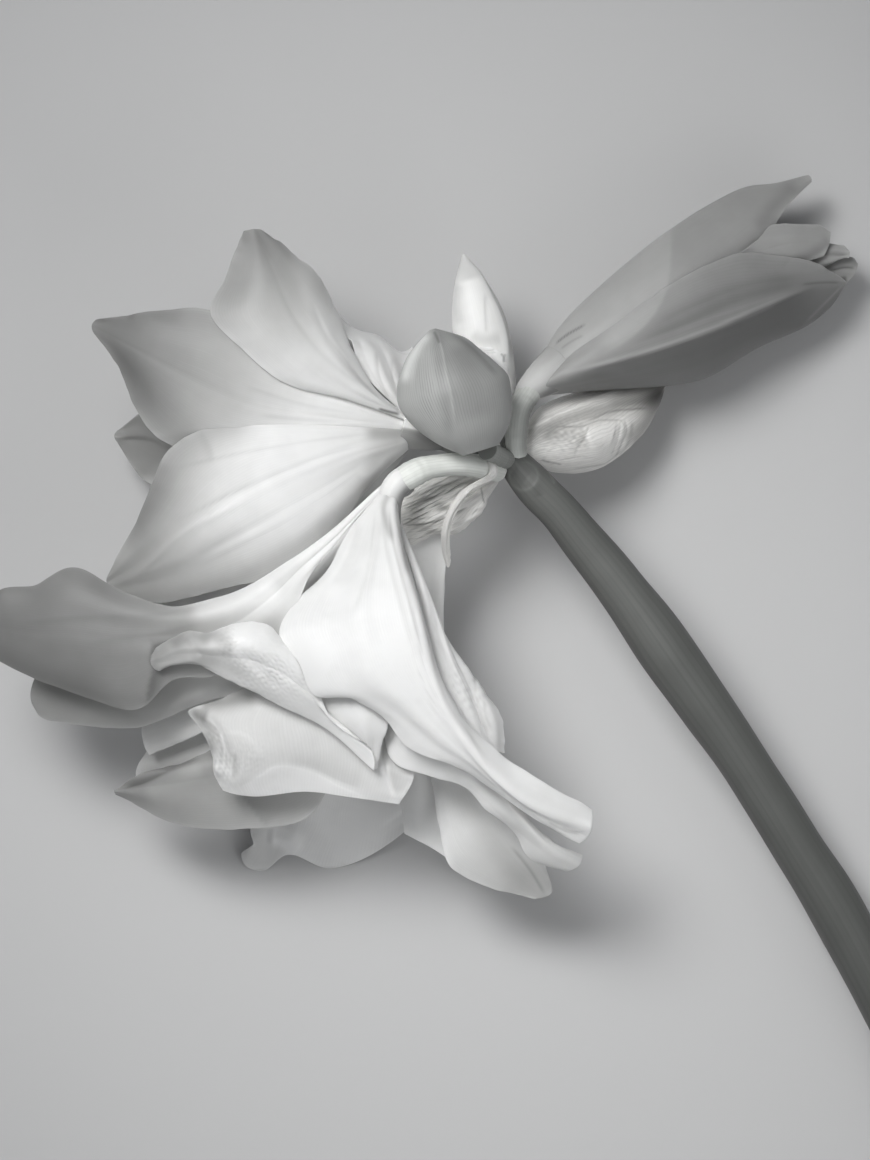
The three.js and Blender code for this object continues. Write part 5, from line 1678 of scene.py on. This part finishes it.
def add_bud(name, bud, node, material):
    """A bud as a closed round body with its veins counted round the axis.

    Its tone is (first, last, half the change from the shaded side to the lit one), which paints light and
    shade on it, and its turn is the angle of the lit side.
    """
    rings, tt, aa = bud_rings(bud)
    center = rings.mean(axis=1, keepdims=True)
    lift = drawn_on_top(rings, aa, bud["creases"])
    first, last, change = bud["tone"]
    level = first + (last - first) * tt + change * np.cos(aa - bud["turn"])
    level = level + drawn_on_top(rings, aa, bud["shades"])
    veined = BUD_VEINED + drawn_on_top(rings, aa, bud["veined"])
    rings = rings + unit(rings - center) * lift[..., None]
    uv = np.stack([aa / (2 * np.pi), tt], axis=-1)
    values = {"tone": np.clip(level, DARKEST, 1), "veined": np.clip(veined, 0, 1)}
    add_piece(name, closed_round(rings), uv, values, material, node)


print("rings and points of a bud:", BUD_GRID)

# %% [markdown]
# ### The round bud
#
# The plump bud in front is darker than the petals and shows close veins. A sphere could be pulled into its
# form, but its lower part is wider on the right, so each side has half-widths of its own.

# %% The round bud
ROUND_BUD = dict(
    axis=[(14, 50.5, 91), (-1, 100, 93)],
    left=[3, 10.5, 16, 19.8, 21.8, 20.8, 17.2, 11.6, 1.2],
    right=[12, 18.4, 21.4, 23, 23.4, 20, 15.8, 11, 1.2],
    height=[6, 13, 17.5, 20, 21, 19.5, 16, 11, 1],
    creases=[
        ([(0.5, 100), (2, 94), (3, 90), (4, 84), (5.5, 78), (6.5, 72), (8, 62)], 0.28, 5, 0.8),
        ([(-1, 99), (-5, 92), (-7.2, 86), (-8, 76)], -0.3, 1.2, 0.6),
        ([(4, 100), (12, 94.5), (19, 88), (26, 80)], -0.25, 0.6, 1.0),
    ],
    # Painted light and shade on the round bud: a light seam line with painted shade beside it, a painted
    # highlight on the lit margin, and painted shade at the tip and down the far side.
    shades=[
        ([(0.8, 100), (2.2, 94), (3.2, 90), (4.2, 84), (5.7, 78), (6.7, 72), (8.4, 60)], 0.09, 0.45, 0.35),
        ([(1.4, 101), (4, 90), (6, 80), (8, 70), (9.6, 58)], -0.05, 1.0, 6),
        ([(1, 106), (1.4, 90), (3, 78), (4.6, 68), (6, 54)], -0.07, 2.4, 2.4),
        ([(-2, 100), (-6.6, 94), (-10.4, 87), (-13, 77)], 0.22, 1.6, 2.4),
        ([(-0.6, 99.4), (0.6, 97), (2, 94)], -0.12, 0.6, 0.6),
        ([(5, 100), (12, 95), (19, 88.6), (26, 81)], -0.08, 1.6, 0.6),
        ([(8, 96), (14, 80), (18, 62)], -0.07, 6, 6),
    ],
    tone=(0.69, 0.68, 0.05),
    turn=2.6,
    veined=[([(-1.5, 104), (-3, 90), (-3.4, 80), (-2, 66), (2, 52)], 0.55, 5, 6)],
)
add_bud("bud_round_body", ROUND_BUD, "bud_round", bud_finish)
print("round bud triangles:", made["bud_round_body"])

# %% [markdown]
# ### The pointed bud
#
# The slim bud behind has the petals' pale finish, and one tepal has let go at its side in a small curled
# lip. The lip is a sheet of its own, because its free edge stands off the body.

# %% The pointed bud and its lip
POINTED_HALF_WIDTH = [4, 7.5, 9.5, 10.8, 11.2, 10.8, 8.6, 5.3, 0.6]
POINTED_BUD = dict(
    axis=[(27, 60, 51), (11.5, 130.5, 51)],
    left=POINTED_HALF_WIDTH,
    right=POINTED_HALF_WIDTH,
    height=[4, 7.2, 9.2, 10.4, 10.8, 10.2, 8.2, 5, 0.6],
    creases=[
        ([(13, 130), (17.4, 124), (22, 115), (26, 106), (28.6, 96), (28.6, 84)], 0.4, 4, 0.6),
        ([(20, 114), (20.4, 106), (20.6, 98)], -0.2, 0.6, 0.8),
    ],
    # Painted shade on the pointed bud: a dark strip down its shaded side, a painted shadow under the lip, a
    # darker tip, a dark fold line and darker bands along both flanks.
    shades=[
        ([(14, 129.6), (18.4, 123.6), (23, 114.6), (27, 105.6), (29.6, 96), (30, 84)], -0.14, 0.6, 3),
        ([(19.6, 116), (20.2, 106), (20.6, 98)], -0.07, 0.5, 1.0),
        ([(14, 98.5), (20, 96), (27, 97)], -0.09, 2.6, 2.6),
        ([(11, 134), (12, 126), (14, 119)], -0.12, 4, 4),
        ([(9.4, 120), (8.6, 110), (9.6, 101)], -0.07, 1.5, 2.5),
        ([(30, 98), (30.6, 88), (30.4, 78)], -0.1, 1.4, 2.5),
    ],
    tone=(1.0, 0.94, 0.03),
    turn=2.4,
    veined=[([(12, 128), (15, 112), (18, 96)], 0.2, 6, 6)],
)
POINTED_BUD_LIP = dict(
    guides=[
        [(15, 86, 60), (15.2, 91, 63), (15.4, 93.8, 64.5)],
        [(19, 84, 59), (18.9, 90, 65), (18.7, 92.9, 66)],
        [(22.5, 82, 58), (22.6, 89, 66), (22.2, 93.1, 67)],
        [(25.5, 80, 56), (25.9, 87.5, 65), (25.4, 91.6, 66.5)],
        [(27.5, 78, 53), (28.9, 86, 61.5), (28.7, 90.4, 63.5)],
    ],
    frill=(0.3, 1, 0),
    slot="bud",
    tone=((1.0, 1.0, 1.0), 0),
    creases=[
        ([(17.6, 92.4), (21, 91.4), (25, 92)], 0.5, 0.7, 0.7),
        ([(26.2, 90.6), (27, 89.2), (27.2, 87.4)], -0.35, 0.5, 0.5),
        ([(28.2, 90.4), (28.5, 88.6), (28, 86.4)], 0.5, 0.8, 0.8),
    ],
    # Painted shade in the knob's hollow, along a fold and over the lip's lower part.
    shades=[
        ([(26.2, 91), (27, 89.2), (27.2, 86.8)], -0.2, 0.4, 0.4),
        ([(19, 91.4), (22, 90.8), (24.6, 91.4)], -0.12, 0.5, 0.4),
        ([(20, 86), (24, 84), (27, 81)], -0.12, 2, 2),
    ],
)
add_bud("bud_pointed_body", POINTED_BUD, "bud_pointed", petal_finish)
add_petal("bud_pointed_lip", POINTED_BUD_LIP, 80, petal_finish, "bud_pointed", size=(90, 90))
print("buds:", {name: count for name, count in made.items() if name.startswith("bud")})

# %% [markdown]
# ## Dry sheaths
#
# Two papery spathes wrapped the whole umbel before it opened. The broad one still cups the opening bloom.
# It could be draped as cloth, but dry tissue keeps its folds, so they are creases drawn one by one.

# %% The broad spathe
BROAD_SPATHE = dict(
    guides=[
        [(35, 46, 56), (42, 44.5, 50), (50, 43, 44), (60, 43.5, 39), (70, 47, 34), (78, 53, 31),
            (86, 62, 28), (91, 72, 26), (92.5, 78, 24)],
        [(35, 49, 58), (48, 52, 57), (64, 56, 49), (80, 65, 37), (92.6, 78, 24)],
        [(34.5, 52, 58), (41, 61.5, 56), (50, 66, 51.5), (62, 70.5, 43.5), (76, 75, 33),
            (92.3, 78.5, 23)],
        [(34, 56, 56), (38, 64, 49), (43, 70, 43), (58, 76, 33.5), (76, 78, 25), (91.6, 79, 21.5)],
    ],
    frill=(0.15, 3, 0.5),
    pleat=(0, 6, 0.5),
    slot="spathe",
    tone=((1, 1, 1, 0.8), 0),
    creases=[
        ([(37, 60.2), (42, 62.5), (47, 65), (54, 68.3), (60, 71), (68, 74), (76, 77.5)], 0.7, 2.4, 0.6),
        ([(50, 61.8), (56, 61.4), (61, 62), (66, 63.8), (71, 64), (75, 64), (76.5, 60), (74.5, 55),
            (72, 50.5)], -0.35, 0.5, 0.9),
        ([(52, 60), (58, 60.4), (62, 61.7), (67, 65.4), (74, 66.2), (79, 66)], -0.25, 0.5, 0.8),
        ([(64, 64.4), (70, 67.3), (78, 68.3), (84, 69)], -0.2, 0.5, 0.7),
        ([(61.5, 61), (60, 57), (57.5, 53.5), (55.5, 50.5)], -0.4, 0.9, 0.5),
        ([(79, 64.5), (78.4, 58), (76, 53), (73.5, 50.3)], -0.25, 0.5, 0.8),
        ([(74, 63), (73.4, 58), (72, 54), (70.3, 50)], -0.25, 0.5, 0.7),
        ([(57, 45.4), (64, 46), (68, 46.9), (71, 49), (75, 52.5)], -0.3, 0.5, 0.7),
        ([(36, 48), (40, 48.2), (46, 47.4)], -0.25, 0.4, 0.6),
        ([(50, 48.4), (58, 49.2), (65, 49)], -0.15, 0.4, 0.6),
        ([(61, 55), (67, 58), (72, 57)], 1.2, 5, 5),
    ],
    # Painted light on the broad spathe: painted highlights along the rib, painted shade below it and in the
    # folds, and a wide band of painted shade at its right end, where the opening bloom shades it.
    shades=[
        ([(37, 60.2), (41, 62), (47, 65)], 0.12, 0.5, 0.4),
        ([(47, 65), (56, 69), (66, 73.2), (80, 78)], 0.06, 0.5, 0.4),
        ([(32, 54), (44, 60.6), (56, 65.6), (70, 69), (84, 72), (100, 76)], -0.24, 4, 2.6),
        ([(46, 61.4), (56, 61.2), (61, 62), (66, 63.8), (71, 64), (77, 64)], -0.14, 0.4, 0.4),
        ([(75.5, 65), (76.5, 60), (74.5, 55), (72, 49)], -0.18, 0.4, 0.5),
        ([(60, 63.4), (70, 67.3), (78, 68.3), (86, 69)], -0.14, 0.5, 0.5),
        ([(61.5, 62), (60, 57), (57.5, 53.5), (55, 49)], -0.12, 0.7, 0.5),
        ([(74, 64), (73.4, 58), (72, 54), (70, 49)], -0.12, 0.4, 0.4),
        ([(79, 65), (78.4, 58), (76, 53), (73, 49)], -0.12, 0.5, 0.7),
        ([(42, 58.5), (50, 57.4), (57, 57), (62, 58)], -0.14, 4, 3.5),
        ([(54, 44.6), (64, 46), (68, 46.9), (71, 49), (76, 53.4)], -0.14, 0.4, 0.4),
        ([(42, 48.3), (47, 47.3), (51, 46.4)], -0.2, 0.35, 0.35),
        ([(35, 48), (40, 48.2), (47, 47.2)], -0.08, 0.4, 0.4),
        ([(48, 48.2), (58, 49.2), (67, 49)], -0.08, 0.4, 0.4),
        ([(78, 52), (84, 62), (88, 70), (92, 80)], -0.22, 4, 5),
        ([(68, 70), (80, 71.5), (88, 72), (96, 78)], -0.05, 2.4, 2.6),
    ],
    grown=dict(sway=0.3, ruffle=0.08, midrib=0),
    puckers=[
        (54, 57, 7, 0.07, 1.4, 20, 1.8),
        (66, 57, 8, 0.04, 1.3, 60, 2.4),
        (44, 52, 9, 0.05, 1.4, 10, 3),
        (76, 57, 6, 0.04, 1.4, 70, 4),
    ],
)
add_petal("spathe_broad_sheet", BROAD_SPATHE, 90, sheath_finish, "spathe_broad", size=(200, 140))
print("broad spathe triangles:", made["spathe_broad_sheet"])

# %% [markdown]
# ### The withered spathe
#
# The other spathe has withered into fine wrinkles that run along it. They are all alike, so one list of
# paths serves twice: every wrinkle is a line of painted shade, and the first few are creases too.

# %% The withered spathe
WRINKLES = [
    ([(-14.5, 23.4), (-4, 26.4), (10, 32)], -0.24),
    ([(-14, 27.8), (-3, 32), (7, 37.4)], -0.27),
    ([(-12.6, 31.6), (-4, 35.4), (6, 39.2)], -0.24),
    ([(-14.4, 21.8), (0, 23.6), (14, 30)], -0.27),
    ([(-14.6, 25.6), (-6, 28.6), (4, 33.6)], -0.19),
    ([(-11, 29.6), (-2, 34.6), (8, 40.4)], -0.19),
    ([(-8, 27), (2, 30.6), (12, 36.6)], -0.16),
    ([(-9, 33.8), (-2, 37.2), (4, 40)], -0.19),
    ([(-12, 24.4), (-4, 24.8), (4, 27.4)], -0.19),
    ([(-14, 16), (0, 18.4), (12, 23.4)], -0.16),
    ([(-13, 19), (-2, 20.6), (8, 24)], -0.13),
    ([(8, 21), (14, 25.6), (18.5, 31)], -0.13),
    ([(-3, 31), (4, 34.4), (11, 39)], -0.13),
    ([(18.4, 37.4), (18.8, 34), (19.8, 30)], -0.24),
]
WRINKLE_WIDTHS = (0.32, 0.3)
CREASED_WRINKLES = 6
WRINKLE_CREASE = (-0.2, 0.5, 0.6)
LIGHT_EDGE = ([(-15, 18), (-2, 18.6), (10, 23), (18, 30)], 0.06, 2, 2)
WITHERED_SPATHE = dict(
    guides=[
        [(26, 43, 58), (12, 43, 60), (0, 42, 61), (-8, 36, 60), (-13.5, 32.5, 58)],
        [(25.5, 40.8, 59), (12, 34, 63.5), (-4, 28, 65), (-15, 26, 57)],
        [(25, 38.8, 57), (21.5, 33, 57), (18, 26.5, 57), (11, 20.3, 56), (-1, 16.9, 54), (-12, 14, 51)],
    ],
    frill=(0.8, 3, 0.5),
    pleat=(0.9, 7, 0),
    slot="spathe",
    tone=((0.98, 1, 0.96), 0),
    creases=[(path, *WRINKLE_CREASE) for path, _ in WRINKLES[:CREASED_WRINKLES]],
    puckers=[(-4, 28, 12, 0.26, 1.7, 27, 6), (8, 33, 11, 0.28, 1.6, 30, 6)],
    shades=[(path, change, *WRINKLE_WIDTHS) for path, change in WRINKLES] + [LIGHT_EDGE],
)
add_petal("spathe_withered_sheet", WITHERED_SPATHE, 91, sheath_finish, "spathe_withered", size=(130, 110))
print("withered spathe triangles:", made["spathe_withered_sheet"])

# %% [markdown]
# ### The bracteole
#
# A thin strap, the bracteole, curls down over the withered spathe. A ribbon on a curve could stand for it.
# It is a narrow petal with three guides instead, so its rim, veins and finish come from the same code.

# %% The bracteole
BRACTEOLE = dict(
    guides=[
        [(20.6, 47, 75.4), (21.8, 44.6, 76.6), (21.4, 42.6, 76), (18, 40.1, 73), (13.5, 37.6, 71.5),
            (9, 34, 70.5), (5.6, 29.3, 70), (4, 24.5, 69), (2.9, 19, 66), (3.2, 11, 59),
            (4.7, 6.5, 56.5)],
        [(22.2, 47.4, 76.6), (23.6, 44.6, 77.2), (22.8, 41.8, 76), (18.4, 39.2, 73.4), (14.2, 36.8, 72.4),
            (10.5, 33, 71.6), (7.2, 28.6, 71), (5.4, 24.2, 70), (4.5, 18.8, 66.8), (4.6, 11, 59.6),
            (5.3, 5, 56.5)],
        [(23.8, 46.8, 75.2), (25, 44.3, 75.6), (24, 41.2, 74.6), (18.8, 38.4, 72.4), (15, 36, 71.5),
            (12, 32.4, 70.5), (9, 28.2, 70), (6.8, 24, 69), (6.1, 18.8, 66), (6, 11, 59), (6, 6.5, 56.5)],
    ],
    frill=(0.2, 3, 0.5),
    slot="spathe",
    tone=((1, 1, 1, 0.98, 0.94), 0),
    # A band of painted shade along the strap.
    shades=[
        ([(18, 38.6), (12, 33.6), (7.6, 27), (5.4, 18)], -0.12, 0.6, 1.2),
    ],
)
add_petal("bracteole_strap", BRACTEOLE, 92, sheath_finish, "bracteole", size=(150, 28))
print("sheaths:", {name: made[name] for name in made if "spathe" in name or "bracteole" in name})

# %% [markdown]
#
# The dressed plant should fill the CAD model's box and not pass it. Its pieces and triangles are counted.

# %% Size of the dressed plant
print("pieces", len(made), "triangles", sum(made.values()), "largest", max(made.values()))
